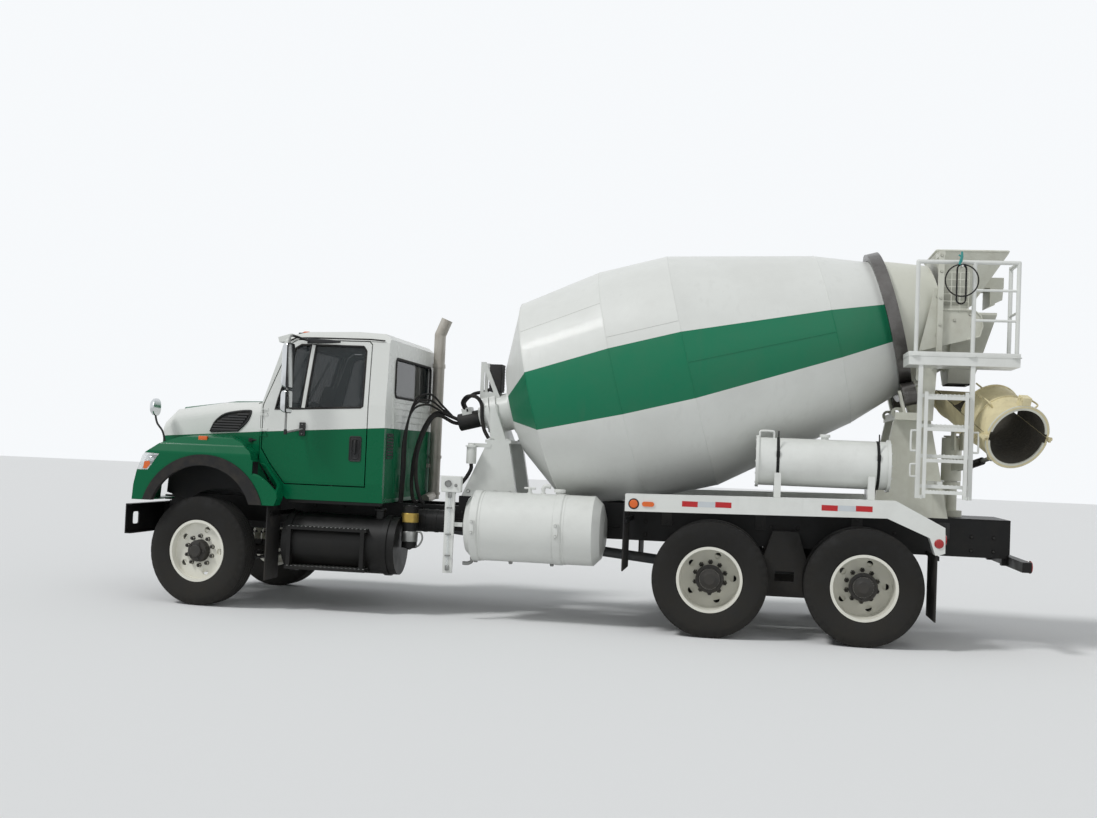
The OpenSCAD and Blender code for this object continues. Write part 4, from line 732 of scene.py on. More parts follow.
REFLECTOR = [(0.0, 0.045), (0.016, 0.043), (0.030, 0.030), (0.040, 0.006), (0.046, 0.0), (0.046, 0.050),
             (0.0, 0.055)]


def make_headlamps():
    """Reflectors and dark backs behind the headlamp lenses, and the amber indicator in their lower corner."""
    for name, side in SIDES.items():
        bowls, housing, amber = Shape(), Shape(), Shape()
        for y, x in ((0.93, -0.60), (1.06, -0.585)):
            bowls.lathe(REFLECTOR, (x, side * y, 1.390), (1, 0, 0), 24)
        bowls.piece(f"headlamp_reflectors_{name}", "chrome", "bonnet")
        rings = []
        for y, back in ((0.868, 0.0), (1.00, 0.0), (1.10, 0.06), (1.160, 0.06)):
            outline = ((-0.560 + back, 1.298), (-0.545 + back, 1.298), (-0.480 + back * 0.3, 1.440),
                       (-0.495 + back * 0.3, 1.440))
            rings.append([(x, side * y, z) for x, z in outline])
        housing.loft(rings)
        housing.piece(f"headlamp_backs_{name}", "plastic", "bonnet")
        low = [(-0.597, 1.302), (-0.560, 1.302), (-0.525, 1.345), (-0.535, 1.378), (-0.585, 1.372)]
        amber.slab(low, (side * 1.199, side * 1.203))
        amber.piece(f"front_indicators_{name}", "amber", "bonnet")


# Mirrors

MIRROR_ARM_X, MIRROR_ARM_Y = 0.825, 1.19
# Main and wide-angle head: lower edge, upper edge and width
MIRROR_HEADS = ((2.13, 2.56, 0.19), (1.89, 2.11, 0.17))
# Sections of a head from the glass forward: place along X and how much wider than the head
MIRROR_FRAME = ((0.862, -0.001), (0.858, 0.0), (0.852, 0.0), (0.850, -0.003))
MIRROR_SHELL = ((0.851, -0.0015), (0.832, -0.003), (0.808, -0.012), (0.794, -0.030), (0.790, -0.055))


def make_mirrors():
    """Mirror heads on their tube arms, carried by the doors."""
    x, y = MIRROR_ARM_X, MIRROR_ARM_Y
    arms = (
        [(x, y, 1.70), (x, y, 1.80), (x, y, 1.90)],
        [(x, y, 2.10), (x, y, 2.14)],
        [(x, y, 2.555), (x, y, 2.60), (x + 0.002, y - 0.012, 2.628), (x + 0.010, y - 0.04, 2.640)],
        [(x, y, 1.72), (x + 0.003, y - 0.02, 1.706), (x + 0.025, y - 0.06, 1.716), (0.93, 1.014, 1.745)],
    )
    for name, side in SIDES.items():
        dark, bright, glass, shine = Shape(), Shape(), Shape(), Shape()
        for low, high, wide in MIRROR_HEADS:
            half_w, half_h = wide / 2, (high - low) / 2
            yc, zc = 1.13 + (0.19 - wide) / 2 + half_w, (low + high) / 2
            for target, sections in ((dark, MIRROR_FRAME), (shine, MIRROR_SHELL)):
                target.loft([
                    [(at_x, side * py, pz)
                     for py, pz in rounded_box(half_w + grow, half_h + grow, 0.03 + grow * 0.3, yc, zc)]
                    for at_x, grow in sections
                ])
            pane = rounded_box(half_w - 0.008, half_h - 0.008, 0.024, yc, zc)
            glass.loft([[(at_x, side * py, pz) for py, pz in pane] for at_x in (0.8615, 0.8635)])
        for arm in arms:
            bright.bend(mirrored(arm, side), 0.011, 10)
        dark.box((0.90, side * 1.011 - 0.011, 1.68), (0.96, side * 1.011 + 0.011, 1.81), 0.006)
        dark.tube([(x, side * y, z) for z in (1.685, 1.70, 1.734)], [0.014, 0.017, 0.016], 12)
        for z in (1.70, 1.79):
            bright.bolt((0.93, side * 1.022, z), (0, side, 0), 0.007, 0.005)
        dark.loft([
            [(at_x, side * py, pz) for py, pz in rounded_box(0.010, half_h, 0.006, 0.974, 2.606, 3)]
            for at_x, half_h in ((0.93, 0.026), (1.02, 0.024), (1.15, 0.019), (1.26, 0.010))
        ])
        dark.bend(mirrored([(x + 0.010, y - 0.04, 2.640), (0.86, 1.08, 2.634), (0.90, 1.01, 2.620),
                            (0.95, 0.978, 2.608)], side), 0.012, 10, 5)
        body = f"door_{name}"
        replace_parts(shine.piece(f"mirror_shells_{name}", "chrome", body, "mirror_shell"), f"mirror_{name}")
        dark.piece(f"mirror_frames_{name}", "plastic", body, "mirror_shell")
        bright.piece(f"mirror_arms_{name}", "steel", body)
        glass.piece(f"mirror_glasses_{name}", "chrome", body)


def make_wing_mirrors():
    """Small round-backed mirrors on bent arms beside the nose."""
    bright, dark = Shape(), Shape()
    shell = ((-0.672, 0.082), (-0.682, 0.088), (-0.702, 0.084), (-0.722, 0.064), (-0.732, 0.03))
    for side in SIDES.values():
        y = side * 0.80
        foot = (-0.56, y, 1.486)
        dark.bend([foot, (-0.60, y, 1.66), (-0.67, y, 1.76), (-0.70, y, 1.90)], 0.010, 10)
        dark.lathe([(0.0, 0.012), (0.020, 0.012), (0.030, 0.002), (0.032, -0.012)], foot, (0, 0, 1), 20)
        bright.loft([
            [(x, py, pz) for py, pz in rounded_box(half, half, half * 0.8, y, 1.91)]
            for x, half in shell
        ])
    dark.piece("wing_mirror_arms", "plastic", "bonnet")
    bright.piece("wing_mirror_shells", "chrome", "bonnet")


# Cab

CAB_REAR = 1.750
SEAT_X, SEAT_Y = 1.345, 0.42
# Sections of a cushion, by height: half width and half length; and of a backrest: half width and half depth
CUSHION = ((1.338, 0.235, 0.255), (1.350, 0.248, 0.268), (1.42, 0.252, 0.272), (1.470, 0.246, 0.266),
           (1.486, 0.215, 0.235), (1.492, 0.12, 0.14))
BACKREST = ((1.47, 0.225, 0.050), (1.50, 0.238, 0.064), (1.60, 0.245, 0.072), (1.80, 0.245, 0.066),
            (2.00, 0.238, 0.060), (2.09, 0.215, 0.054), (2.13, 0.16, 0.044), (2.145, 0.10, 0.02))
# Side window's outline, as (x, z), and the height stations of the post behind its vent pane
WINDOW = [(0.640, 1.930), (1.50, 1.974), (1.52, 1.99), (1.52, 2.525), (1.49, 2.568), (0.862, 2.570),
          (0.80, 2.53)]
POST = [(0.925 + (z - 1.955) * 0.10, z) for z in (1.952, 2.1, 2.25, 2.4, 2.572)]
HANDLE_X, HANDLE_Z = 1.466, 1.575
# Windscreen: place and height of its foot, its lean per metre of height, and that of its frame
SCREEN_X, SCREEN_Z, SCREEN_LEAN, SCREEN_FRAME_LEAN = 0.507, 1.975, 0.289, 0.185 / 0.64


def cab_wall_y(z):
    """Half width of the cab's outer wall at height z."""
    if z > 2.0:
        return 1.0 - (z - 2.0) * 0.06 / 0.61
    return 1.0 if z > 1.242 else 0.98 + (z - 1.062) / 9


def on_screen(y, z, out, lean=SCREEN_LEAN):
    """Point out metres ahead of the windscreen."""
    return spot(SCREEN_X + (z - SCREEN_Z) * lean - out, y, z)


def make_seats():
    """Two seats with crowned cushions, side rolls and piping, over the plain seat solids."""
    for name, side in SIDES.items():
        y0 = side * SEAT_Y
        cloth, piping = Shape(), Shape()
        cloth.loft([
            [(x, y, z) for y, x in rounded_box(half_w, half_l, 0.06 if half_w > 0.2 else 0.03, y0, SEAT_X)]
            for z, half_w, half_l in CUSHION
        ])
        cloth.loft([
            [(1.555 + (z - 1.47) * 0.125 + a, y, z)
             for a, y in rounded_box(depth, half, min(depth, 0.045), 0, y0)]
            for z, half, depth in BACKREST
        ])
        edge = [(x, y, 1.474) for y, x in rounded_box(0.250, 0.270, 0.06, y0, SEAT_X)]
        piping.tube(edge, 0.006, 6, closed=True)
        for y in (y0 - 0.13, y0 + 0.13):
            piping.tube([(1.11, y, 1.484), (1.34, y, 1.4945), (1.56, y, 1.484)], 0.004, 6)
        piping.piece(f"seat_piping_{name}", "trim")
        cloth.piece(f"seat_cushions_{name}", "seat", angle=60)


def make_door_trim(name, side):
    """Window rubber, vent window post, handle and hinge bolts of one door."""
    body = f"door_{name}"
    seal, post, latch, hinges = Shape(), Shape(), Shape(), Shape()

    def on_door(x, z, sunk=0.004):
        return spot(x, side * (cab_wall_y(z) - sunk), z)

    loop = []
    for (xa, za), (xb, zb) in zip(WINDOW, WINDOW[1:] + WINDOW[:1]):
        loop += [on_door(xa + (xb - xa) * k / 6, za + (zb - za) * k / 6) for k in range(6)]
    seal.tube(loop, 0.011, 8, closed=True)
    for shift in (-0.024, 0.024):
        seal.tube([on_door(x + shift, z, 0.006) for x, z in POST], 0.010, 8)
    seal.piece(f"door_window_rubber_{name}", "rubber", body)
    post.strip([on_door(x, z) for x, z in POST], 0.020, 0.012, (0, side, 0))
    post.piece(f"door_window_post_{name}", "white", body)
    for y, half_w, half_h in ((1.004, 0.056, 0.118), (1.0065, 0.034, 0.092)):
        rim = rounded_box(half_w, half_h, 0.016, HANDLE_X, HANDLE_Z)
        latch.tube([(x, side * y, z) for x, z in rim], 0.005, 6, closed=True)
    latch.slab(rounded_box(0.056, 0.118, 0.016, HANDLE_X, HANDLE_Z), (side * 0.999, side * 1.0035))
    grip = ((1.004, 1.655), (1.018, 1.645), (1.020, 1.60), (1.018, 1.54), (1.004, 1.53))
    latch.bend([(HANDLE_X, side * y, z) for y, z in grip], 0.011, 8, 5)
    lock = [(0.0, 0.006), (0.012, 0.006), (0.014, 0.0)]
    latch.lathe(lock, (HANDLE_X, side * 1.003, 1.487), (0, side, 0), 16)
    latch.piece(f"door_handle_{name}", "plastic", body)
    for z in (1.70, 1.90):
        for x, dz in ((0.545, 0.014), (0.562, -0.014)):
            hinges.bolt((x, side * 1.006, z + dz), (0, side, 0), 0.006, 0.005)
    hinges.piece(f"door_hinges_{name}", "cab", body)


def make_window_rubbers():
    """Gutters, the rubbers of the rear window and the windscreen, and the windscreen's middle bar."""
    shape = Shape()
    for side in SIDES.values():
        gutter = ((0.725, 2.600), (0.80, 2.635), (1.0, 2.640), (1.3, 2.640), (1.56, 2.640), (1.70, 2.630))
        shape.tube([(x, side * (cab_wall_y(z) + 0.004), z) for x, z in gutter], 0.008, 6)
    rear = [(CAB_REAR + 0.002, y, z) for y, z in rounded_box(0.70, 0.19, 0.06, 0.0, 2.29)]
    shape.tube(rear, 0.013, 8, closed=True)
    rim = rounded_box(0.84, 0.28, 0.03, 0.0, 2.295)
    screen = [on_screen(y, z, 0.002, SCREEN_FRAME_LEAN) for y, z in rim]
    shape.tube(screen, 0.012, 8, closed=True)
    shape.tube([on_screen(0, z, 0.004) for z in (2.012, 2.2, 2.4, 2.576)], 0.011, 8)
    shape.piece("cab_window_rubbers", "rubber")


def make_wipers():
    """Wiper spindles, arms and blades."""
    shape = Shape()
    for y in (-0.52, 0.22):
        shape.tube([on_screen(y, 1.985, 0.004), on_screen(y, 1.995, 0.03)], 0.014, 10)
        arm = [on_screen(y, 1.995, 0.028), on_screen(y + 0.12, 2.15, 0.026), on_screen(y + 0.22, 2.28, 0.020)]
        shape.tube(arm, [0.009, 0.006, 0.005], 8)
        blade = ((0.10, 2.06), (0.22, 2.28), (0.34, 2.50))
        shape.tube([on_screen(y + across, z, 0.012) for across, z in blade], 0.007, 6)
    shape.piece("wipers", "plastic")


def make_roof_lamps():
    """Five amber lamps on the roof's front edge."""
    bases, lamps = Shape(), Shape()
    half_circle = [math.pi * k / 8 for k in range(9)]
    for y in (-0.66, -0.17, 0.0, 0.17, 0.66):
        lamps.loft([
            [(x, y + half * math.cos(a), z - 0.012 + 0.034 * (half / 0.052) * max(0.0, math.sin(a)))
             for a in half_circle]
            for x, half, z in ((0.735, 0.020, 2.678), (0.75, 0.045, 2.690), (0.79, 0.052, 2.705),
                               (0.83, 0.040, 2.712))
        ])
        bases.box((0.740, y - 0.056, 2.668), (0.842, y + 0.056, 2.708), 0.006)
    lamps.piece("roof_lamps", "amber")
    bases.piece("roof_lamp_bases", "plastic")


def make_cab_rear():
    """Ribs and pressed panels of the cab's rear wall."""
    ribs, panels = Shape(), Shape()
    for i, z in enumerate((1.86, 1.925, 1.99, 2.055)):
        half = 0.60 + 0.035 * i
        ribs.tube([(CAB_REAR, y, z) for y in (-half, -half / 2, 0, half / 2, half)],
                  [0.004, 0.010, 0.010, 0.010, 0.004], 8)
    for side in SIDES.values():
        edge = ((0.80, 2.12), (0.70, 1.80), (0.63, 1.45), (0.60, 1.16))
        ribs.bend([(CAB_REAR, side * y, z) for y, z in edge], 0.009, 8)
    ribs.piece("cab_rear_ribs", "cab")
    panels.box((CAB_REAR, -0.93, 1.10), (CAB_REAR + 0.0015, 0.93, 1.785))
    half_w, half_h = 0.14, 0.09
    hexagon = ((-0.15, 0), (-0.10, half_h), (0.10, half_h), (0.15, 0), (0.10, -half_h), (-0.10, -half_h))
    for z, columns in ((1.685, (-0.36, 0.0, 0.36)), (1.465, (-0.54, -0.18, 0.18, 0.54)),
                       (1.245, (-0.36, 0.0, 0.36))):
        for y in columns:
            panels.loft([
                [(x, y + a * (1 + grow / half_w), z + b * (1 + grow / half_h)) for a, b in hexagon]
                for x, grow in ((1.751, 0.0), (1.756, -0.012), (1.758, -0.020))
            ])
    panels.piece("cab_rear_panels", "dull")


def make_air_vent():
    """Air vent in the cab's rear wall."""
    vent = Shape()
    for i in range(7):
        z = 1.52 + 0.031 * i
        vent.box((1.749, -0.90, z), (1.763, -0.71, z + 0.016), 0.004)
    rim = [(1.753, y, z) for y, z in rounded_box(0.108, 0.118, 0.01, -0.805, 1.613)]
    vent.tube(rim, 0.006, 6, closed=True)
    vent.piece("cab_air_vent", "plastic")


def make_cowl_cheeks():
    """Panels between the wing's tail and the door, below the cowl."""
    shape = Shape()
    for side in SIDES.values():
        cheek = [(0.488, 1.060), (0.672, 1.060), (0.672, 1.110), (0.488, 1.405)]
        shape.slab(cheek, (side * 0.975, side * 0.983))
    shape.piece("cowl_cheeks", "green")


def make_cab_trim():
    """Door trim, window rubbers, wipers, roof lamps, rear wall, cowl cheeks, air vent and sills."""
    for name, side in SIDES.items():
        make_door_trim(name, side)
    make_window_rubbers()
    make_wipers()
    make_roof_lamps()
    make_cab_rear()
    make_cowl_cheeks()
    make_air_vent()
    sills = Shape()
    for side in SIDES.values():
        sills.box((0.80, side * 0.935 - 0.035, 1.030), (1.74, side * 0.935 + 0.035, 1.064), 0.008)
    sills.piece("cab_sills", "black")


# Frame and tanks

FUEL_Y, FUEL_Z = -0.77, 0.65
FUEL_CAP_X, FUEL_CAP_Y = 1.70, -0.83


def make_fuel_tank_trim():
    """Straps and filler cap of the fuel tank, its step treads and the battery box's, and the box's lid."""
    straps, treads, lid = Shape(), Shape(), Shape()
    for x in (0.835, 1.795):
        straps.lathe(band(0.289, 0.293, 0.028, 0.028), (x, FUEL_Y, FUEL_Z), (1, 0, 0), 48)
    straps.lathe([(0.0, 0.030), (0.050, 0.028), (0.058, 0.018), (0.058, 0.0), (0.052, -0.004)],
                 (FUEL_CAP_X, FUEL_CAP_Y, 0.982), (0, 0, 1), 28)
    for dx, dy in circle(8, 0.056):
        x, y = FUEL_CAP_X + dx, FUEL_CAP_Y + dy
        straps.box((x - 0.006, y - 0.006, 0.986), (x + 0.006, y + 0.006, 1.002))
    straps.piece("fuel_tank_straps", "black")
    for z, y0, y1 in ((0.430, -1.095, -0.86), (0.810, -1.085, -0.88)):
        for i in range(19):
            x = 0.86 + 0.042 * i
            treads.box((x, y0, z - 0.002), (x + 0.018, y1, z + 0.005), 0.002)
    for i in range(12):
        x = 0.86 + 0.045 * i
        treads.box((x, 1.085, 0.448), (x + 0.018, 1.128, 0.455), 0.002)
    treads.piece("step_treads", "steel")
    lid.box((0.81, 0.44, 0.968), (1.43, 1.09, 0.996), 0.010)
    for x in (0.95, 1.27):
        lid.box((x, 1.083, 0.90), (x + 0.03, 1.095, 0.985), 0.004)
    lid.piece("battery_lid", "plastic", slot="black_paint")


RAIL_Y = 0.430
WING_Y = 1.2054
REAR_BAR_X = 7.700


def make_frame_bolts():
    """Bolts and plates of the frame's sides and the bumper's bolts."""
    shape = Shape()
    for side in SIDES.values():
        for x in (0.9, 1.2, 1.9, 2.42, 2.55, 2.7, 3.3, 3.6, 4.25, 4.5, 5.45, 5.70, 6.4, 6.6, 7.0, 7.3, 7.5):
            for z in (0.86, 0.99):
                shape.bolt((x, side * RAIL_Y, z), (0, side, 0), 0.014, 0.012)
        for x in (2.6, 3.4, 4.4, 5.3, 6.2, 7.0):
            plate_y = side * 0.4345
            shape.box((x, plate_y - 0.0045, 0.96), (x + 0.10, plate_y + 0.0045, 1.11), 0.003)
            for z in (0.985, 1.09):
                shape.bolt((x + 0.05, side * 0.438, z), (0, side, 0), 0.013, 0.010)
        for y in (0.18, 0.55, 0.75, 1.08):
            for z in (0.72, 0.89):
                shape.bolt((-0.780, side * y, z), (-1, 0, 0), 0.012, 0.003)
    shape.piece("frame_bolts", "cast")


def make_hooks_and_plates():
    """Tow hooks under the bumper and the bare plates in front and behind."""
    hooks, plates = Shape(), Shape()
    hook = ((-0.755, 0.655), (-0.765, 0.600), (-0.745, 0.565), (-0.705, 0.560), (-0.680, 0.590),
            (-0.690, 0.660))
    for side in SIDES.values():
        hooks.bend([(x, side * 0.36, z) for x, z in hook], 0.017, 10)
    hooks.piece("tow_hooks", "cast")
    plates.box((-0.7835, -0.15, 0.735), (-0.7795, 0.15, 0.885), 0.002)
    plates.box((7.7005, -0.15, 0.742), (7.7035, 0.15, 0.820), 0.002)
    plates.piece("bare_plates", "white")


def make_tapes_and_tail_lamps():
    """Red and silver tape along the wings' rails and the rear bar, and the red lamps."""
    reds, tails, silver = Shape(), Shape(), Shape()
    for side in SIDES.values():
        y = side * WING_Y
        for x0 in (4.63, 5.874):
            for target, start, end in ((reds, 0.0, 0.142), (silver, 0.142, 0.300), (reds, 0.300, 0.445)):
                z = 1.167 + 0.0187 * (x0 + start - 4.11)
                target.box((x0 + start, y - 0.0008, z), (x0 + end, y + 0.0008, z + 0.050))
        for i in range(1, 6):
            ends = sorted((side * (0.16 + 0.15 * i), side * (0.16 + 0.15 * i + 0.14)))
            target = silver if i % 2 else reds
            target.box((REAR_BAR_X, ends[0], 0.762), (REAR_BAR_X + 0.0016, ends[1], 0.802))
        tails.lathe([(0.0, 0.018), (0.040, 0.016), (0.052, 0.006), (0.054, 0.0)], (6.956, side * 1.12, 0.985),
                    (1, 0, 0), 28)
        tails.lathe([(0.0, 0.014), (0.034, 0.012), (0.042, 0.0)], (6.90, side * 1.2055, 0.953),
                    (0, side, 0), 24)
        tails.lathe([(0.0, 0.020), (0.045, 0.018), (0.056, 0.008), (0.058, 0.0)],
                    (REAR_BAR_X, side * 1.06, 0.780), (1, 0, 0), 28)
    reds.piece("tape_red", "tape_red")
    silver.piece("tape_silver", "tape_silver")
    tails.piece("tail_lamps", "red")


def make_amber_lamps():
    """Amber lamps of the rear bar and the wings' rails, with their rubber rings."""
    bar_lamps, rail_lamps, rings = Shape(), Shape(), Shape()
    for side in SIDES.values():
        bar_lamps.lathe([(0.0, 0.016), (0.036, 0.014), (0.046, 0.005), (0.048, 0.0)],
                        (REAR_BAR_X, side * 0.94, 0.780), (1, 0, 0), 24)
        for target, r, high in ((rings, 0.050, 0.008), (rail_lamps, 0.040, 0.014)):
            target.lathe([(0.0, high), (r * 0.8, high - 0.001), (r * 0.96, high * 0.5), (r, 0.0)],
                         (4.190, side * 1.205, 1.181), (0, side, 0), 32)
        bar_lamps.slab(rounded_box(0.055, 0.022, 0.021, 4.322, 1.183), (side * 1.205, side * 1.216))
    bar_lamps.piece("amber_lamps_rear", "amber")
    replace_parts(rail_lamps.piece("rail_marker_lamps", "amber"), "marker_lamps")
    rings.piece("rail_marker_rings", "rubber")


def make_frame_trim():
    """Bolts, hooks, plates, tapes and lamps of the frame, and the exhaust's clamps."""
    make_frame_bolts()
    make_hooks_and_plates()
    make_tapes_and_tail_lamps()
    make_amber_lamps()
    clamps = Shape()
    for z in (1.12, 1.52, 2.0, 2.5):
        clamps.lathe([(0.064, -0.014), (0.070, -0.014), (0.0715, 0.0), (0.070, 0.014), (0.064, 0.014),
                      (0.064, -0.014)], (1.83, 0.75, z), (0, 0, 1), 32)
    clamps.piece("exhaust_clamps", "stack")


# Axes of the water tank and of the admixture tank, and the sight glass on the water tank's front
WATER_Y, WATER_Z = -0.82, 0.89
ADMIX_Y, ADMIX_Z = -0.9, 1.62
GAUGE_X, GAUGE_Y = 2.435, -1.066


def make_water_tank_trim():
    """Bands, filler, valves, gauge box and sight glass of the water tank."""
    fittings, box, dial, glass, brass = Shape(), Shape(), Shape(), Shape(), Shape()
    for x in (2.676, 3.471):
        fittings.lathe(band(0.334, 0.339, 0.036, 0.034), (x, WATER_Y, WATER_Z), (1, 0, 0), 64)
        fittings.box((x - 0.020, -1.178, 0.82), (x + 0.020, -1.150, 0.96), 0.006)
        for z in (0.84, 0.94):
            fittings.bolt((x, -1.178, z), (0, -1, 0), 0.012, 0.012)
    for x in (2.736, 3.531):
        fittings.lathe(band(0.328, 0.3335, 0.008, 0.006), (x, WATER_Y, WATER_Z), (1, 0, 0), 64)
    fittings.lathe([(0.0, 0.060), (0.050, 0.058), (0.056, 0.050), (0.056, 0.030), (0.040, 0.028),
                    (0.040, -0.02)], (3.45, WATER_Y, 1.212), (0, 0, 1), 32)
    for x, h in ((3.16, 0.055), (3.29, 0.035)):
        fittings.lathe([(0.0, h), (0.017, h), (0.017, 0.012), (0.026, 0.010), (0.026, -0.01)],
                       (x, WATER_Y, 1.218), (0, 0, 1), 20)
    fittings.tube([(3.105, WATER_Y, 1.268), (3.215, WATER_Y, 1.268)], 0.011, 12)
    elbow = ((3.29, 1.25), (3.29, 1.275), (3.315, 1.296), (3.36, 1.288))
    fittings.bend([(x, WATER_Y, z) for x, z in elbow], 0.020, 14)
    fittings.piece("water_tank_fittings", "white")
    box.loft([
        [(x, y, z) for x, z in rounded_box(0.097 + grow, 0.077 + grow, 0.014, 2.445, 1.280)]
        for y, grow in ((-1.083, -0.006), (-1.077, 0.0), (-1.022, 0.0), (-1.018, 0.0))
    ])
    box.piece("gauge_box", "white")
    dial.lathe([(0.030, 0.0), (0.034, 0.010), (0.030, 0.013), (0.026, 0.008), (0.024, 0.006), (0.0, 0.006)],
               (2.420, -1.083, 1.285), (0, -1, 0), 32)
    dial.lathe([(0.0, 0.022), (0.010, 0.020), (0.013, 0.004), (0.016, 0.0)], (2.492, -1.083, 1.270),
               (0, -1, 0), 16)
    dial.piece("gauge_dial_rim", "steel")
    glass.tube([(GAUGE_X, GAUGE_Y, 0.50), (GAUGE_X, GAUGE_Y, 1.17)], 0.011, 14)
    glass.piece("sight_glass", "lens")
    for z in (0.49, 1.175):
        brass.lathe([(0.0, 0.024), (0.018, 0.024), (0.020, 0.020), (0.020, -0.020), (0.018, -0.024),
                     (0.0, -0.024)], (GAUGE_X, GAUGE_Y, z), (0, 0, 1), 6)
    for z in (0.60, 0.80, 1.05):
        brass.box((2.41, -1.080, z), (2.46, -1.055, z + 0.012), 0.002)
    for x in (2.66, 3.0, 3.4):
        brass.bolt((x, WATER_Y, 0.556), (0, 0, -1), 0.02, 0.02)
    brass.bend([(2.62, -0.82, 0.585), (2.62, -0.82, 0.545), (2.59, -0.84, 0.525), (2.54, -0.86, 0.525)],
               0.018, 12)
    brass.piece("tank_brass", "steel")


def make_admixture_tank_trim():
    """End bolts, filler, grip and straps of the smaller white tank."""
    fittings, straps = Shape(), Shape()
    for x, out in ((5.30 - 0.020, -1), (6.47 + 0.014, 1)):
        for dy, dz in circle(12, 0.225):
            fittings.bolt((x, ADMIX_Y + dy, ADMIX_Z + dz), (out, 0, 0), 0.008, 0.006)
    fittings.lathe([(0.0, 0.050), (0.042, 0.048), (0.048, 0.040), (0.048, 0.022), (0.034, 0.020),
                    (0.034, -0.02)], (5.9, ADMIX_Y, 1.838), (0, 0, 1), 28)
    grip = ((5.31, 1.83), (5.31, 1.885), (5.33, 1.90), (5.42, 1.90), (5.44, 1.885), (5.44, 1.83))
    fittings.bend([(x, ADMIX_Y, z) for x, z in grip], 0.010, 10, 5)
    fittings.piece("second_tank_fittings", "white")
    for x in (5.478, 6.37):
        straps.lathe(band(0.2205, 0.2235, 0.014, 0.012), (x, ADMIX_Y, ADMIX_Z), (1, 0, 0), 56)
        straps.tube([(x, -1.105, 1.70), (x, -1.075, 1.90)], 0.006, 8)
        straps.box((x - 0.016, -1.128, 1.66), (x + 0.016, -1.108, 1.72), 0.004)
    straps.piece("second_tank_straps", "black")


# Drum drive


def on_drum(t, radius, angle):
    """Point at t along the drum's axis, radius from it, angle up from the truck's right."""
    out = Vector((0, 1, 0)) * math.cos(angle) + DRUM_UP * math.sin(angle)
    return spot(DRUM_X, 0, DRUM_Z) + DRUM_AXIS * t + out * radius


def round_drum(count, start=0.0):
    """Angles evenly spaced about the drum's axis."""
    return [start + 2 * math.pi * k / count for k in range(count)]


def make_gearbox_trim():
    """Bolts, ribs and flange of the drum's gearbox."""
    shape = Shape()
    for a in round_drum(20):
        shape.bolt(on_drum(-2.110, 0.195, a), -DRUM_AXIS, 0.012, 0.010)
    for a in round_drum(12):
        shape.bolt(on_drum(-2.150, 0.072, a), -DRUM_AXIS, 0.010, 0.008)
    for a in round_drum(8, math.pi / 8):
        shape.tube([on_drum(-2.112, 0.095, a), on_drum(-2.112, 0.180, a)], [0.012, 0.007], 8)
    shape.lathe([(0.205, 0.0), (0.2165, 0.004), (0.2165, 0.022), (0.205, 0.026), (0.205, 0.0)],
                on_drum(-2.108, 0, 0), DRUM_AXIS, 72)
    shape.piece("gearbox_bolts", "white")


def make_pedestal_ribs():
    """Ribs and bolts of the front pedestal."""
    shape = Shape()
    for side in SIDES.values():
        for (xa, za), (xb, zb) in (((2.66, 1.74), (2.56, 2.06)), ((2.74, 1.74), (2.67, 2.08))):
            shape.tube([(xa, side * 0.225, za), (xb, side * 0.185, zb)], 0.016, 8)
        shape.tube([(2.62, side * 0.215, 1.86), (2.72, side * 0.215, 1.90)], 0.014, 8)
        for y in (0.27, 0.37):
            for x in (2.66, 2.84):
                shape.bolt((x, side * y, 1.72), (0, 0, 1), 0.018, 0.016)
        for x in (2.47, 2.62, 2.74, 2.89):
            shape.bolt((x, side * 0.420, 1.20), (0, side, 0), 0.016, 0.014)
    shape.piece("pedestal_ribs", "white")


def make_drive_motor():
    """Black cases of the drum's motor and its oil cooler, with bands, bolts, ports and fins."""
    shape = Shape()
    for t, r in ((-2.39, 0.088), (-2.33, 0.089), (-2.20, 0.090)):
        shape.lathe(band(r - 0.006, r, 0.006, 0.004), on_drum(t, 0, 0), DRUM_AXIS, 40)
    for a in round_drum(6):
        shape.bolt(on_drum(-2.39, 0.062, a), -DRUM_AXIS, 0.011, 0.010)
    port = on_drum(-2.30, 0.088, math.pi / 2)
    for y in (-0.05, 0.05):
        shape.lathe([(0.0, 0.030), (0.024, 0.030), (0.026, 0.0)], port + Vector((0, y, 0)), DRUM_UP, 6)
    shape.lathe([(0.0, -0.002), (0.080, -0.002), (0.0885, 0.004), (0.0885, 0.232), (0.0, 0.232)],
                on_drum(-2.42, 0, 0), DRUM_AXIS, 48)
    shape.box((2.572, -0.103, 2.212), (2.693, 0.103, 2.493), 0.006)
    for i in range(9):
        z = 2.235 + 0.03 * i
        for x0, x1 in ((2.569, 2.5755), (2.6895, 2.696)):
            shape.box((x0, -0.094, z), (x1, 0.094, z + 0.018))
    shape.piece("drive_motor_details", "cast")


